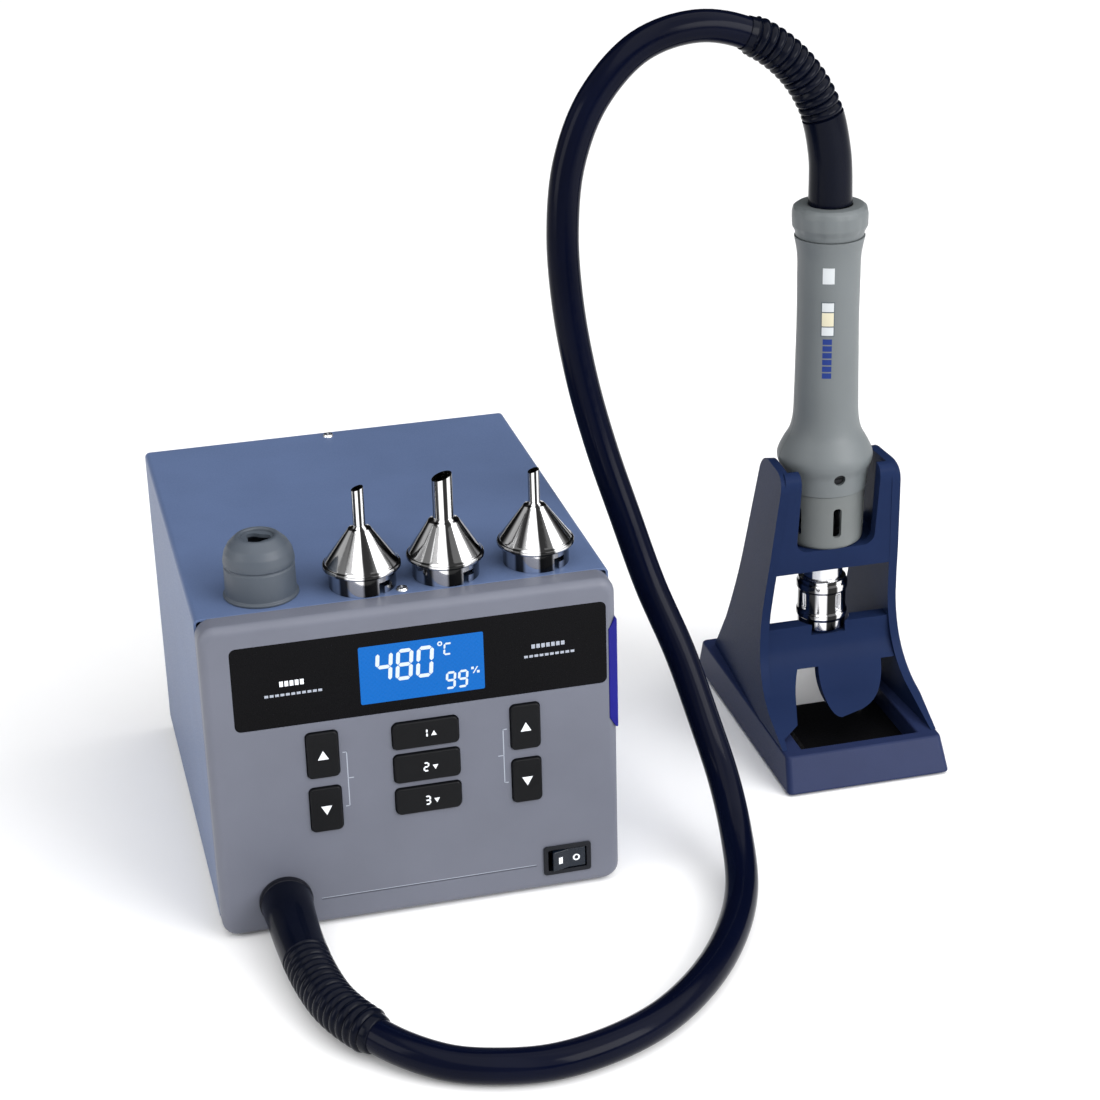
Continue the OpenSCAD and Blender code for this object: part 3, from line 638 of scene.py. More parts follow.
def key_outline(node, shrink, r):
    """A key's outline: the first preset has an arched top, the last an arched bottom."""
    x, z, w, h = key_face(node)
    outline = rounded((w - 2 * shrink) * MM, (h - 2 * shrink) * MM, r * MM)
    rise = 1.6 * MM
    half = (w - 2 * shrink) * MM / 2
    shaped = []
    for u, v in outline:
        droop = rise * (abs(u - half) / half) ** 3
        if node == "key_preset_one" and v > h * MM / 2:
            v -= droop
        if node == "key_preset_three" and v < h * MM / 2:
            v += droop
        shaped.append((u + (x + shrink) * MM, v + (z + shrink) * MM))
    return shaped


def make_bezel():
    """The moulded front: round outer edges, a hollow back and pockets for what it holds."""
    w, h = bezel_hi.x - bezel_lo.x, bezel_hi.z - bezel_lo.z
    bm = bmesh.new()

    def loop(inset, y, corner):
        outline = rounded(w - 2 * inset, h - 2 * inset, corner, 8)
        return [bm.verts.new((bezel_lo.x + inset + u, y, bezel_lo.z + inset + v)) for u, v in outline]

    wall, edge, corner = 2.6 * MM, BEZEL_ROUND * MM, BEZEL_CORNER * MM
    loops = [loop(wall, front_y + wall, corner - wall), loop(wall, bezel_hi.y, corner - wall),
             loop(0.15 * MM, bezel_hi.y, corner), loop(0, bezel_hi.y - 0.4 * MM, corner)]
    steps = 7
    for i in range(steps + 1):
        a = math.radians(90 * i / steps)
        inset = edge * (1 - math.cos(a))
        loops.append(loop(inset, front_y + edge * (1 - math.sin(a)), corner - 0.8 * inset))
    for a, b in zip(loops, loops[1:]):
        join_loops(bm, a, b)
    bm.faces.new(loops[0])
    bm.faces.new(loops[-1])
    bezel = made("bezel_moulding", bm, "bezel_plastic", "station", "front_bezel")
    deep = 20 * MM
    cutters = [prism("pocket", face_outline(window_lo, window_hi, 0, 3), on_front(1.5 * MM), deep)]
    for node in KEY_NODES:
        cutters.append(prism("pocket", key_outline(node, 0, 2.5), on_front(6 * MM), deep))
    switch = face_outline(*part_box("switch_frame"), 1, 1.2)
    cutters.append(prism("pocket", switch, on_front(6 * MM), deep))
    gx, gz = gland.x - case_x, gland.z
    cutters.append(prism("pocket", [(gx + 9.05 * MM * math.cos(a), gz + 9.05 * MM * math.sin(a))
                   for a in (math.radians(q) for q in range(0, 360, 8))], on_front(6 * MM), deep))
    cutters.append(prism("pocket", [(46 * MM, 14.1 * MM), (147.5 * MM, 14.1 * MM),
                                    (147.5 * MM, 14.8 * MM), (46 * MM, 14.8 * MM)],
                         on_front(0.5 * MM), deep))
    cutters.append(badge_block("pocket", 0.1 * MM))
    cut(bezel, cutters)
    bevel(bezel, 0.35 * MM, 2, 40)


def badge_block(name, grow, **kind):
    """The plain badge that wraps the bezel's right edge, with slanted inner corners."""
    lo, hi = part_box("side_badge")
    x0, x1, z0, z1 = lo.x - grow, hi.x + grow, lo.z - grow, hi.z + grow
    slant_x, slant_z = 3 * MM, 5 * MM
    outline = [(x0 + slant_x, z0), (x1, z0), (x1, z1), (x0 + slant_x, z1), (x0, z1 - slant_z),
               (x0, z0 + slant_z)]
    y0 = lo.y - grow
    return prism(name, outline, lambda u, v, d: Vector((u, y0 + d, v)), hi.y - y0 + grow, **kind)


def make_badge():
    """The badge in its pocket on the bezel's edge."""
    badge = badge_block("edge_badge", 0, slot="badge_blue", body="station", node="side_badge")
    bevel(badge, 1.1 * MM, 4)


def make_window():
    """The black window behind which the display sits."""
    window = prism("window_panel", face_outline(window_lo, window_hi, 0, 2.8, 8), on_front(1.4 * MM),
                   1.25 * MM, "window_black", "station", "display_window")
    bevel(window, 0.3 * MM, 3)


# The display: its left side, bottom, width and height in millimetres, from the case's left
# side and the table
LCD = (69.7, 111.0, 56.6, 28.4)
SEGMENTS = {"0": "abcdef", "1": "bc", "2": "abged", "3": "abgcd", "4": "fgbc", "8": "abcdefg",
            "9": "abcdfg", "C": "adef"}


def bar(p, q, t):
    """A pointed bar from p to q, t thick."""
    p, q = Vector(p), Vector(q)
    d = (q - p).normalized()
    n = Vector((-d.y, d.x)) * t / 2
    tip = d * t / 2
    return [tuple(p), tuple(p + tip + n), tuple(q - tip + n), tuple(q), tuple(q - tip - n),
            tuple(p + tip - n)]


def digit(symbol, x, z, w, h, t, lean=0.08):
    """A seven-segment figure as a list of bars."""
    g = t * 0.12
    ends = {"a": ((0, h), (w, h)), "b": ((w, h), (w, h / 2)), "c": ((w, h / 2), (w, 0)),
            "d": ((0, 0), (w, 0)), "e": ((0, 0), (0, h / 2)), "f": ((0, h / 2), (0, h)),
            "g": ((0, h / 2), (w, h / 2))}
    bars = []
    for s in SEGMENTS[symbol]:
        p, q = (Vector(e) for e in ends[s])
        d = (q - p).normalized() * g
        bars.append([(x + u + lean * v, z + v) for u, v in bar(p + d, q - d, t)])
    return bars


def marks(name, outlines, slot, body, y, depth=0.12):
    """Thin raised figures on a face towards the front, outlines in millimetres."""
    bm = bmesh.new()
    place = on_front(y * MM)
    for outline in outlines:
        raise_outline(bm, scaled(outline), place, depth * MM)
    return made(name, bm, slot, body)


def box_outline(x, z, w, h):
    """A rectangle by its lower left corner, width and height."""
    return [(x, z), (x + w, z), (x + w, z + h), (x, z + h)]


def make_display():
    """The lit panel and its figures: a temperature, its unit and a percentage."""
    x, z, w, h = LCD
    face = (window_lo.y + 0.05 * MM - front_y) / MM
    outline = [(x + u, z + v) for u, v in rounded(w, h, 0.8, 3)]
    marks("lcd_panel", [outline], "lcd_blue", "station", face, 0.12)
    figures = []
    for i, symbol in enumerate("480"):
        figures += digit(symbol, x + 7.6 + i * 9.3, z + 10.6, 6.0, 13.6, 1.75)
    figures += digit("C", x + 38.6, z + 19.6, 3.0, 5.2, 0.85)
    corners = ((0, 0), (1.6, 0), (1.6, 1.6), (0, 1.6))
    for a, b in ((0, 1), (3, 2), (0, 3), (1, 2)):
        figures.append([(x + 36.0 + u, z + 24.4 + v) for u, v in bar(corners[a], corners[b], 0.6)])
    for i in range(2):
        figures += digit("9", x + 39.0 + i * 5.6, z + 2.6, 3.6, 7.6, 1.1)
    px, pz = x + 50.6, z + 8.4
    figures += [box_outline(px, pz + 2, 1.2, 1.2), box_outline(px + 2.6, pz, 1.2, 1.2),
                [(px + 0.6, pz), (px + 1.2, pz), (px + 3.2, pz + 3.2), (px + 2.6, pz + 3.2)]]
    marks("lcd_figures", figures, "lcd_white", "station", face - 0.1, 0.1)


KEY_PROUD = 1.6


def small_triangle(x, z, s, up):
    """A filled arrow head centred at x, z."""
    k = 1 if up else -1
    return [(x - s, z - k * s * 0.8), (x + s, z - k * s * 0.8), (x, z + k * s)]


def make_keys():
    """Soft-edged caps, the first preset's with an arched top and the last's with an arched bottom, and their
    printed figures.
    """
    for node in KEY_NODES:
        x, z, w, h = key_face(node)
        cap = prism("cap_" + node, key_outline(node, KEY_GAP, 2.2), on_front(2.7 * MM), 4.3 * MM,
                    "key_black", node, node)
        bevel(cap, 0.8 * MM, 4)
        cx, cz = x + w / 2, z + h / 2
        face = -KEY_PROUD + 0.03
        if node.startswith("key_preset"):
            number = {"one": "1", "two": "2", "three": "3"}[node.split("_")[-1]]
            figures = digit(number, cx - 1.6, cz - 2.1, 2.0, 4.0, 0.75, 0)
            figures.append(small_triangle(cx + 3.6, cz - 0.5, 1.3, number == "1"))
        else:
            figures = [small_triangle(cx, cz, 2.5, node.endswith("up"))]
        marks("print_" + node, figures, "print_white", node, face, 0.06)


def make_prints():
    """Faint printed brackets that tie each pair of side keys together, a painted highlight along the bezel's
    low step, and dashed prints on the window.
    """
    t = 0.45
    left, right = 61.5, 133.6
    low, high, middle = 61.0, 89.0, 75.2
    bars = []
    for x, k in ((left, -1), (right, 1)):
        bars += [box_outline(x, low, t, high - low), box_outline(min(x, x + k * 1.6), low, 1.6 + t, t),
                 box_outline(min(x, x + k * 1.6), high - t, 1.6 + t, t),
                 box_outline(min(x, x - k * 2.4), middle, 2.4 + t, t)]
    marks("panel_brackets", bars, "print_faint", "station", 0.02, 0.05)
    # Painted highlight: a thin pale line along the top of the bezel's low step, where light catches its
    # edge.
    marks("panel_step_painted_highlight", [box_outline(46, 14.8, 101.5, 0.3)], "print_faint", "station", 0.02, 0.05)
    face = (window_lo.y - front_y) / MM + 0.05
    for name, slot, x, z, w, h in (("window_print_a", "print_white", 34, 125.4, 11.5, 2.6),
                                   ("window_print_b", "print_faint", 27, 120.8, 26.4, 1.2),
                                   ("window_print_c", "print_faint", 148.3, 127.6, 16, 2.0),
                                   ("window_print_d", "print_faint", 144.8, 123.2, 24, 1.2)):
        count = round(w / 2.4)
        step = w / count
        dashes = [box_outline(x + i * step, z, step * 0.72, h) for i in range(count)]
        marks(name, dashes, slot, "station", face, 0.12)


def make_switch():
    """The power switch: its rim and tub, the tilted paddle and the two marks on it."""
    lo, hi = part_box("switch_frame")
    rim = prism("switch_rim", face_outline(lo, hi, 0, 1.4), on_front(-0.02 * MM), 1.0 * MM,
                "switch_black", "station", "switch_frame")
    combine(rim, [prism("tub", face_outline(lo, hi, 1.1, 1), on_front(16 * MM), 16.2 * MM)], "UNION")
    cut(rim, [prism("pocket", face_outline(lo, hi, 2.2, 0.6), on_front(9 * MM), 20 * MM)])
    bevel(rim, 0.35 * MM, 3)

    pivot_x, pivot_y = 162.4 * MM + case_x, front_y + 4 * MM
    tilt = math.radians(8)
    half, front, sag = 8.2, -5.6, 0.9
    steps = 12
    face = []
    for i in range(steps + 1):
        t = 2 * i / steps - 1
        face.append((t * half, front + sag * (1 - abs(t)) ** 1.3))
    side = [(half - 1.5, 1.5), (0, 2.4), (-half + 1.5, 1.5)]

    def place(u, v, d):
        u, v = u * math.cos(tilt) - v * math.sin(tilt), u * math.sin(tilt) + v * math.cos(tilt)
        return Vector((pivot_x + u * MM, pivot_y + v * MM, 11.4 * MM + d))

    paddle = prism("rocker_paddle", face + side, place, 10 * MM, "rocker_black", "power_rocker",
                   "power_rocker")
    bevel(paddle, 0.5 * MM, 3, 40)
    bm = bmesh.new()
    ring = [(1.7 * math.cos(a), 1.7 * math.sin(a)) for a in (math.tau * i / 24 for i in range(24))]
    inner = [(0.55 * u, 0.6 * v) for u, v in ring]

    def on_face(u, z, lift):
        y = front + sag * (1 - abs(u) / half) ** 1.3 - lift
        x = u * math.cos(tilt) - y * math.sin(tilt)
        y = u * math.sin(tilt) + y * math.cos(tilt)
        return bm.verts.new((pivot_x + x * MM, pivot_y + y * MM, (16.4 + z) * MM))

    def raise_mark(outline, hole=None):
        low = [on_face(u, v, -0.05) for u, v in outline]
        high = [on_face(u, v, 0.06) for u, v in outline]
        join_loops(bm, low, high)
        if hole is None:
            bm.faces.new(high)
            bm.faces.new(low)
            return
        low_in = [on_face(u, v, -0.05) for u, v in hole]
        high_in = [on_face(u, v, 0.06) for u, v in hole]
        for a, b in ((high, high_in), (low, low_in), (high_in, low_in)):
            join_loops(bm, a, b)

    raise_mark([(-4.3 + u, v) for u, v in ((-1.0, -1.7), (1.0, -1.7), (1.0, 1.7), (-1.0, 1.7))])
    raise_mark([(3.6 + u, v) for u, v in ring], [(3.6 + u, v) for u, v in inner])
    made("rocker_marks", bm, "print_white", "power_rocker")


def make_gland():
    """The smooth collar round the boot where the hose leaves the bezel."""
    profile = [(10.5, 0), (12.4, 0), (12.4, 2.4), (11.9, 3.5), (11.2, 4), (10.5, 4)]
    collar = lathe("gland_collar", softened(scaled(profile), 0.5 * MM), "gland_black", None, "hose_gland",
                   segments=72)
    turn = Matrix.Translation(gland) @ Matrix.Rotation(math.radians(90), 4, "X")
    collar.data.transform(turn)
    smooth(collar, 50)
    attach(collar, "station")


make_cover()
make_bezel()
make_badge()
make_window()
make_display()
make_keys()
make_prints()
make_switch()
make_gland()

# ---- Loose pieces on the box ----


def make_funnel(node, tip_r, tip_l, cone_h):
    """A spun funnel nozzle: socket with locking slots, rolled rim, cone and cut tip."""
    lo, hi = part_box(node)
    at = ((lo.x + hi.x) / 2, (lo.y + hi.y) / 2)
    wall, rim = 0.8, 12
    shoulder = rim + cone_h
    profile = [(14.4, 0), (15.2, 0), (15.2, 8.2), (15.6, 8.8), (17.5, 9.2), (17.7, 9.7), (17.7, 10.7),
               (17.3, 11.3), (16.6, 11.6), (16.3, 12.2), (tip_r + 3.1, shoulder - 2.4),
               (tip_r + 2.4, shoulder - 1.4),
               (tip_r + 1.2, shoulder - 0.9), (tip_r, shoulder), (tip_r, shoulder + tip_l),
               (tip_r - wall, shoulder + tip_l), (tip_r - wall, shoulder - 1), (tip_r + 0.6, shoulder - 3),
               (15.4, 11.4), (15.4, 9.8), (14.4, 9.2)]
    piece = lathe("funnel_" + node, softened(scaled(profile, lo.z), 0.35 * MM, 3), "nozzle_chrome", node,
                  node, at)
    slots = []
    for a in (25, 205):
        turn = Matrix.Translation((at[0], at[1], 0)) @ Matrix.Rotation(math.radians(a), 4, "Z")
        for x, z, w, h in ((-1.5, -1, 3, 6.5), (-1.5, 3.5, 6.5, 2.4)):
            slot = block("slot", (x * MM, -20 * MM, lo.z + z * MM),
                         ((x + w) * MM, -12 * MM, lo.z + (z + h) * MM))
            slot.data.transform(turn)
            slots.append(slot)
    top = lo.z + (shoulder + tip_l) * MM
    slant = block("slant", (-10 * MM, -10 * MM, 0), (10 * MM, 10 * MM, 10 * MM))
    slant.data.transform(Matrix.Translation((at[0], at[1], top - 0.35 * tip_r * MM)) @
                         Matrix.Rotation(math.radians(-18), 4, "Y"))
    cut(piece, slots + [slant])
    smooth(piece, 30)


def make_nose_cap():
    """The grey spare nose: a footed cup with a domed, three-lobed end."""
    lo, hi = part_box("spare_nose_cap")
    at = ((lo.x + hi.x) / 2, (lo.y + hi.y) / 2)
    profile = [(12.4, 0), (17, 0), (17, 1.2), (16, 1.7), (15.9, 14.3), (15.4, 14.8), (15.4, 15.4),
               (16, 15.9), (16, 17.8), (15.2, 21.4), (13.4, 24.7), (10.6, 27.4), (9.6, 28.3), (8.4, 28.5),
               (7.6, 28.1), (7.2, 24.5), (12.4, 20.4)]
    cap = lathe("spare_cap_moulding", softened(scaled(profile, lo.z), 0.5 * MM, 4), "nose_grey",
                "spare_nose_cap", "spare_nose_cap", at)
    smooth(cap, 40)
    cap.data.materials[0] = MATERIALS["cap_slate"]
    lobes = 3
    bm = bmesh.new()
    outline = []
    for i in range(72):
        a = math.tau * i / 72
        outline.append(((5.2 + 1.1 * math.cos(lobes * a)) * math.cos(a),
                        (5.2 + 1.1 * math.cos(lobes * a)) * math.sin(a)))
    ring = [(7.6 * math.cos(math.tau * i / 72), 7.6 * math.sin(math.tau * i / 72)) for i in range(72)]
    levels = []
    for shape, z in ((ring, 25.2), (ring, 27), (outline, 26.8), (outline, 25.2)):
        levels.append([bm.verts.new((at[0] + u * MM, at[1] + v * MM, lo.z + z * MM)) for u, v in shape])
    for a, b in zip(levels, levels[1:] + levels[:1]):
        join_loops(bm, a, b)
    web = made("spare_cap_lobed_web", bm, "nose_grey", "spare_nose_cap")
    smooth(web, 40)
    web.data.materials[0] = MATERIALS["cap_slate"]


make_funnel("small_nozzle", 2.75, 18.5, 17)
make_funnel("wide_nozzle", 4.6, 21, 16)
make_funnel("fine_nozzle", 2.6, 16, 17)
make_nose_cap()

# ---- Stand ----

STAND_FRONT = -20
LEAN_TOP = 147
HALF_TOP = 31.3
WALL_T = 4.6
WALL_LEAN = 4.3
WALL_TOE = 3.2
POCKET_HALF = 20.8
POCKET_FLOOR = 107
SADDLE_HOLE_R = 13.8
FLOOR_Z = 18
# The base's two ends: half its width, its front, its back and its height
BASE_LEVELS = ((43.25, -75, 78, 1), (41.5, -66, 75, FLOOR_Z))


def stand_point(x, y, z):
    """A point in millimetres from the stand's upright line through the handpiece."""
    return Vector((axis_x + x * MM, axis_y + y * MM, z * MM))


def slab(name, outline, half, **kind):
    """A side view of y and z, made as wide as twice half."""
    return prism(name, outline, lambda u, v, d: stand_point(d / MM - half, u, v), 2 * half * MM, **kind)


def lean(side):
    """Moves a plate as the uprights lean and close in; side is -1 or 1."""
    turn = Matrix.Rotation(math.radians(WALL_TOE), 4, "Z") @ Matrix.Rotation(
        math.radians(-WALL_LEAN), 4, "Y")
    pivot = Vector((HALF_TOP, STAND_FRONT, LEAN_TOP))

    def place(x, y, z):
        p = turn @ (Vector((x, y, z)) - Vector((0, pivot.y, pivot.z))) + pivot
        return stand_point(side * p.x, p.y, p.z)
    return place


def outboard(side):
    """Everything beyond the middle of an upright, to trim what joins it."""
    place = lean(side)
    return prism("outboard", [(-300, -300), (300, -300), (300, 300), (-300, 300)],
                 lambda u, v, d: place(-WALL_T / 2 + d / MM, u, v), 200 * MM)


def front_edge():
    """The uprights' front edge from under the saddle down to the foot."""
    return [(-17.5, 103), (-14.5, 88)] + bend((-12.2, 74), (-9.5, 44), (-30, 31.8)) + [(-60, FLOOR_Z)]


def wall_outline():
    """Side view of an upright: its back, foot, front edge and round top."""
    back = bend((0, 152), (10, 152), (14.5, 143.5)) + bend((30.8, 89), (37, 69), (51, 42))
    return back + [(67, FLOOR_Z)] + front_edge()[::-1] + bend((-24, 142.5), (-25.5, 152), (-14, 152))


def make_saddle():
    """The plate under the handpiece's nose and the deep yoke in front of it."""
    outline = [(-10.5, 94.5), (-15.8, 94.5), (-17.5, 103)]
    outline += bend((-24, 142.5), (-25.5, 152), (-18, 151.7)) + [(-12.3, 103)]
    yoke = slab("yoke", outline, 40)
    combine(yoke, [block("shelf", stand_point(-36, -14, 102), stand_point(36, 22, POCKET_FLOOR))], "UNION")
    pocket = block("pocket", stand_point(-POCKET_HALF, -60, POCKET_FLOOR), stand_point(POCKET_HALF, 60, 170))
    bevel(pocket, 6 * MM, 6)
    hole = lathe("hole", scaled([(0.01, 90), (SADDLE_HOLE_R, 90), (SADDLE_HOLE_R, 120), (0.01, 120)]),
                 "hole_black", at=(axis_x, axis_y))
    return cut(yoke, [pocket, hole, outboard(-1), outboard(1)])


def make_skin():
    """The swept sheet between the uprights, open above the foot."""
    curve = bend((-11, 60), (-9, 44), (-29, 32.4))
    inner = [(y + 3, z - 3) for y, z in reversed(curve[1:])]
    skin = slab("skin", [(-3, 62), (-11, 62)] + curve + [(-55, 19.2), (-52, 16.6)] + inner + [(-3, 56)], 40)
    opening = [(-19, 41), (-28.5, 24), (-45, 18), (-45, 10), (45, 10), (45, 41)]
    opening += bend((26.8, 41), (24.5, 29), (8, 26)) + bend((-4, 24.5), (-12, 25), (-7.6, 41))
    gap = prism("gap", opening, lambda u, v, d: stand_point(u, -70 + d / MM, v), 80 * MM)
    notch = lathe("notch", scaled([(0.01, 56), (14.2, 56), (14.2, 80), (0.01, 80)]), "hole_black",
                  at=(axis_x, axis_y))
    return cut(skin, [gap, notch, outboard(-1), outboard(1)])


def make_stand():
    """One moulding for the uprights, yoke and skin, and a hollow tapered base under it."""
    walls = []
    for side in (-1, 1):
        place = lean(side)
        wall = prism("stand_moulding", wall_outline(), lambda u, v, d, place=place: place(-d / MM, u, v),
                     WALL_T * MM, "stand_blue", "station" if side < 0 else None,
                     ["stand_left_wall", "stand_right_wall", "stand_front_skin", "stand_saddle"]
                     if side < 0 else None)
        keep = block("keep", stand_point(-41.2, -100, FLOOR_Z), stand_point(41.2, 100, 200))
        walls.append(combine(wall, [keep], "INTERSECT"))
    moulding = combine(walls[0], [walls[1], make_saddle(), make_skin()], "UNION")
    bevel(moulding, 0.9 * MM, 3)

    bm = bmesh.new()
    levels = []
    for half, front, back, z in BASE_LEVELS:
        outline = rounded(2 * half, back - front, 3, 6)
        levels.append([bm.verts.new(stand_point(u - half, front + v, z)) for u, v in outline])
        bm.faces.new(levels[-1])
    join_loops(bm, *levels)
    foot = made("stand_base_frame", bm, "stand_base_blue", "station", "stand_base")
    cut(foot, [block("hole", stand_point(-31, -59, -1), stand_point(31, 65, 30))])
    bevel(foot, 1.2 * MM, 3)


make_stand()

# ---- Handpiece ----

GRIP = [
    (21.3, 136.5), (21.6, 139.5), (22.4, 146.5), (23.6, 149.5), (24.2, 152.5), (23.8, 155), (21.5, 160),
    (18.2, 166), (16.6, 173), (16.1, 185), (15.7, 205), (15.4, 225), (15.5, 245), (15.8, 258), (17.4, 267)
]
GRIP_WALL = 2.4
LABEL_TURN = -20.5


def grip_line():
    """The grip's outside as a smooth line of radius and height."""
    points = [Vector((r, z, 0)) for r, z in GRIP]
    return [(p.x, p.y) for p in spline(points, 1.6)]


def grip_radius(z):
    """The grip's radius at a height."""
    line = grip_line()
    for (r0, z0), (r1, z1) in zip(line, line[1:]):
        if z0 <= z <= z1:
            return r0 + (r1 - r0) * (z - z0) / (z1 - z0)
    return line[-1][0]


def patch(name, z0, z1, half_w, slot, lift, turn=LABEL_TURN):
    """A thin label that follows the grip's surface, centred at the given turn from the front."""
    bm = bmesh.new()
    rows, columns = 10, 10
    grids = []
    for level in (-0.1, lift):
        grid = []
        for i in range(rows + 1):
            z = z0 + (z1 - z0) * i / rows
            r = grip_radius(z) + level
            row = []
            for j in range(columns + 1):
                a = math.radians(turn - 90) + (2 * j / columns - 1) * half_w / r
                row.append(bm.verts.new(stand_point(r * math.cos(a), r * math.sin(a), z)))
            grid.append(row)
        grids.append(grid)
    low, high = grids
    for grid in grids:
        for i in range(rows):
            for j in range(columns):
                bm.faces.new((grid[i][j], grid[i][j + 1], grid[i + 1][j + 1], grid[i + 1][j]))
    for i in range(rows):
        for j in (0, columns):
            bm.faces.new((low[i][j], low[i + 1][j], high[i + 1][j], high[i][j]))
    for j in range(columns):
        for i in (0, rows):
            bm.faces.new((low[i][j], low[i][j + 1], high[i][j + 1], high[i][j]))
    piece = made(name, bm, slot, "handpiece")
    smooth(piece, 40)


def make_handpiece():
    """The grip shells, collar, nose ring, heater sleeve, fitted nozzle and labels."""
    at = (axis_x, axis_y)
    outside = grip_line()
    inside = [(r - GRIP_WALL, z) for r, z in reversed(outside)]
    profile = [(r * MM, z * MM) for r, z in outside + inside]
    seam = 0.25
    shells = []
    for name, node, start in (("grip_shell_front", "grip_front_shell", 180),
                              ("grip_shell_rear", "grip_rear_shell", 0)):
        shell = lathe(name, profile, "grip_grey", "handpiece", node, at, 72, start + seam, 180 - 2 * seam)
        shells.append(shell)
    hole = lathe("hole", scaled([(0.01, -45), (3, -45), (3, 0), (0.01, 0)]), "hole_black", segments=32)
    hole.data.transform(Matrix.Translation(stand_point(0, 0, 146)) @
                        Matrix.Rotation(math.radians(-90), 4, "X"))
    cut(shells[0], [hole])
    for shell in shells:
        bevel(shell, 0.3 * MM, 3, 50)

    top = COLLAR_TOP / MM
    collar = lathe("collar_ring", softened(scaled([
        (10.9, 262), (13.1, 262), (13.1, 267.1), (16.6, 267.1), (17.4, 270.2), (18.7, 272.6), (18.8, 278.6),
        (18.2, 281.2), (16.4, top), (10.9, top)]), 0.5 * MM, 4), "grip_grey", "handpiece", "hose_collar",
        at, 96)
    for v in collar.data.vertices:
        d = Vector((v.co.x - axis_x, v.co.y - axis_y))
        if d.length > 0.0165 and v.co.z > 0.2685:
            a = math.atan2(d.y, d.x)
            scallop = 1 - 0.022 * abs(math.sin(5 * a)) ** 6
            v.co.x, v.co.y = axis_x + d.x * scallop, axis_y + d.y * scallop
    smooth(collar, 40)

    z0 = nose_lo.z / MM
    nose = lathe("nose_ring", softened(scaled([
        (14, z0), (18.6, z0), (19.7, z0 + 1.2), (20, z0 + 3), (20.6, 136.2), (18.6, 136.4), (18.6, 139.5),
        (16, 139.5), (16, 128.4), (17.8, 128.4), (17.8, z0 + 2.5), (14, z0 + 2.5)]), 0.5 * MM, 4),
        "nose_grey", "handpiece", "nose_guard", at, 96)
    slots = []
    for i in range(6):
        outline = [(u - 2.2 * MM, v - 7.9 * MM) for u, v in rounded(4.4 * MM, 15.8 * MM, 1.8 * MM)]
        slot = prism("slot", outline, lambda u, v, d: Vector((u, -24 * MM + d, v)), 9 * MM)
        slot.data.transform(Matrix.Translation(stand_point(0, 0, 121.7)) @
                            Matrix.Rotation(math.radians(60 * i), 4, "Z"))
        slots.append(slot)
    cut(nose, slots)
    bevel(nose, 0.25 * MM, 2, 60)

    sleeve = lathe("heater_sleeve", softened(scaled([
        (9.5, 68), (10.5, 68), (10.5, 128.8), (15.9, 128.9), (15.9, 132), (9.5, 132)]), 0.3 * MM, 3),
        "heater_steel", "handpiece", "heater_tube", at, 96)
    smooth(sleeve, 40)

    nozzle = lathe("bayonet_nozzle", softened(scaled([
        (9, 57), (11.2, 57), (12.2, 58), (12.4, 63), (13.1, 64), (13.2, 66.4), (12.4, 67.4), (12.4, 78.4),
        (13.2, 79.3), (13.2, 82.4), (12.4, 83.4), (12.3, 85), (10.56, 85), (10.56, 66), (9, 66)]),
        0.35 * MM, 3), "nozzle_chrome", "fitted_nozzle", "fitted_nozzle", at, 96)
    slots = []
    for i in range(4):
        outline = [(u - 1.6 * MM, v) for u, v in rounded(3.2 * MM, 9.5 * MM, 1.2 * MM)]
        slot = prism("slot", outline, lambda u, v, d: Vector((u, -20 * MM + d, v)), 12 * MM)
        slot.data.transform(Matrix.Translation(stand_point(0, 0, 68.4)) @
                            Matrix.Rotation(math.radians(22 + 90 * i), 4, "Z"))
        slots.append(slot)
    cut(nozzle, slots)
    smooth(nozzle, 30)

    patch("grip_mark_square", 246.5, 254.5, 2.9, "label_white", 0.1)
    patch("grip_label_edge", 219.6, 237.4, 3.4, "label_dark", 0.06)
    patch("grip_label_top", 232.4, 236.8, 2.9, "label_white", 0.1)
    patch("grip_label_middle", 225.0, 231.8, 2.9, "label_cream", 0.1)
    patch("grip_label_low", 220.2, 224.4, 2.9, "label_white", 0.1)
    for i in range(6):
        patch("grip_stripe_" + str(i + 1), 198 + 3.5 * i, 200.8 + 3.5 * i, 2.3, "label_blue", 0.06)


make_handpiece()

# ---- Studio ----


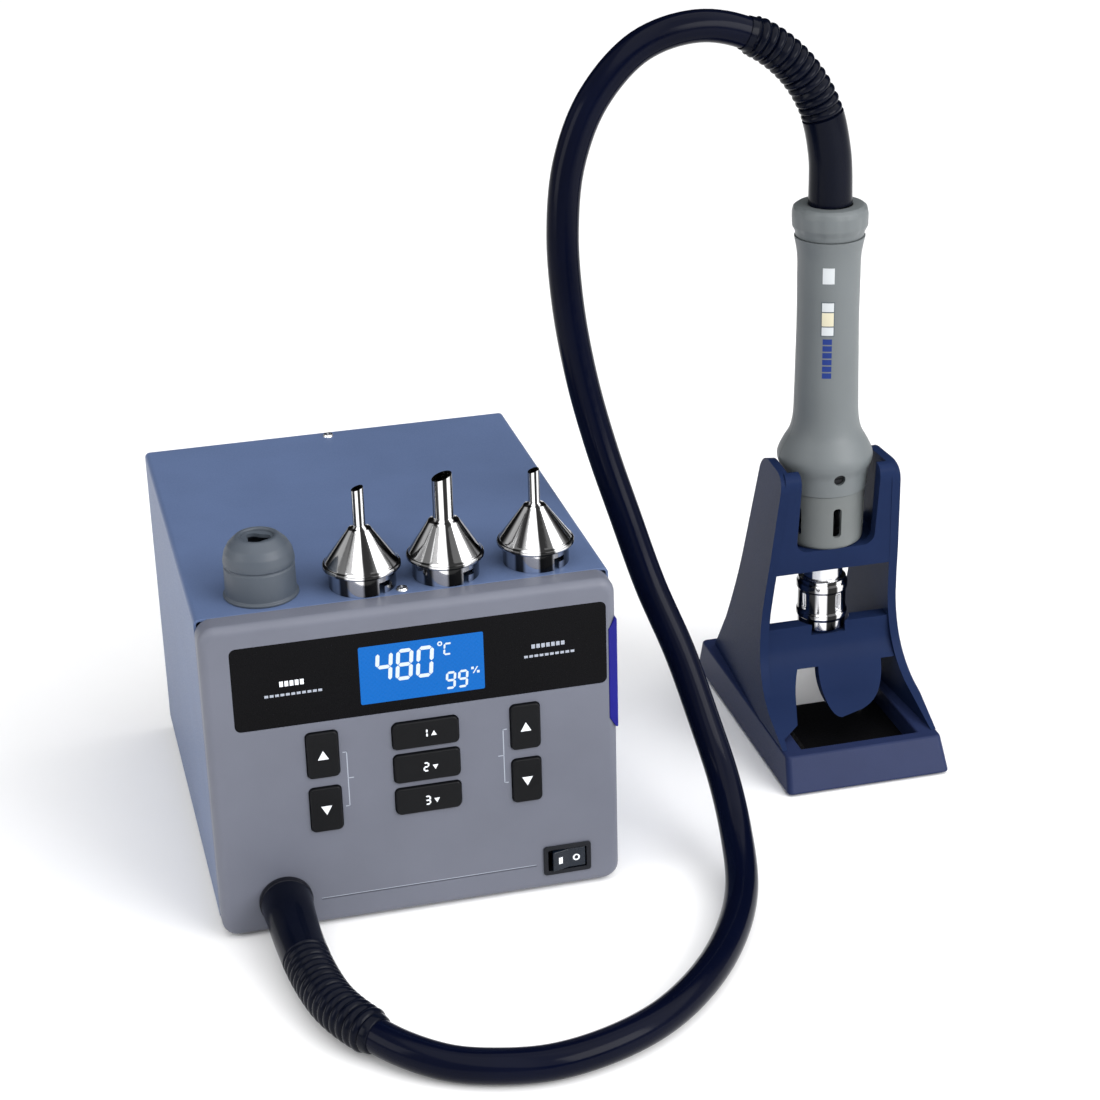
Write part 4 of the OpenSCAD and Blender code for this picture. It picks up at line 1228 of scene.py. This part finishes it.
def make_floor():
    """The pale floor."""
    bm = bmesh.new()
    bmesh.ops.create_grid(bm, x_segments=1, y_segments=1, size=40)
    floor = made("floor", bm, "print_white", None)
    material = surface("floor_pale", (0.93, 0.93, 0.935, 1), 0.6, mottle=0.004, depth=0.00001)
    floor.data.materials[0] = material
    floor.location.z = -0.0002


def make_light(name, at, target, size, power, color=(1, 1, 1)):
    """A soft rectangular light that faces its target."""
    data = bpy.data.lights.new(name, "AREA")
    data.shape = "RECTANGLE"
    data.size, data.size_y = size
    data.energy = power
    data.color = color
    light = bpy.data.objects.new(name, data)
    light.location = at
    light.rotation_euler = (Vector(target) - Vector(at)).to_track_quat("-Z", "Y").to_euler()
    bpy.context.scene.collection.objects.link(light)


def make_sun(strength):
    """A wide soft light from above that keeps the floor evenly white to its far edge."""
    data = bpy.data.lights.new("sky_soft", "SUN")
    data.energy = strength
    data.angle = math.radians(100)
    light = bpy.data.objects.new("sky_soft", data)
    light.rotation_euler = (math.radians(22), math.radians(18), 0)
    bpy.context.scene.collection.objects.link(light)


def make_world():
    """A pale surround with soft darker bands, so that bright metal has something to show."""
    world = bpy.data.worlds.new("studio")
    world.use_nodes = True
    nodes, links = world.node_tree.nodes, world.node_tree.links
    turn = nodes.new("ShaderNodeTexGradient")
    turn.gradient_type = "RADIAL"
    links.new(nodes.new("ShaderNodeTexCoord").outputs["Generated"], turn.inputs["Vector"])
    ramp = nodes.new("ShaderNodeValToRGB")
    stops = [(0.0, 1.0), (0.24, 1.0), (0.27, 0.03), (0.35, 0.03), (0.38, 1.0), (0.52, 1.0), (0.56, 0.04),
             (0.86, 0.04), (0.90, 1.0)]
    fill_ramp(ramp, [(place, (v, v, v, 1)) for place, v in stops])
    links.new(turn.outputs["Fac"], ramp.inputs["Fac"])
    links.new(ramp.outputs["Color"], nodes["Background"].inputs["Color"])
    nodes["Background"].inputs["Strength"].default_value = 0.62
    bpy.context.scene.world = world


make_floor()
make_world()
make_sun(2.9)
make_light("key_left", (-1.9, -0.5, 0.9), (0, 0, 0.1), (1.0, 1.2), 11)
make_light("front_right", (1.3, -1.7, 1.2), (0, 0, 0.15), (1.6, 1.4), 38)
bpy.context.scene.view_settings.view_transform = "Standard"
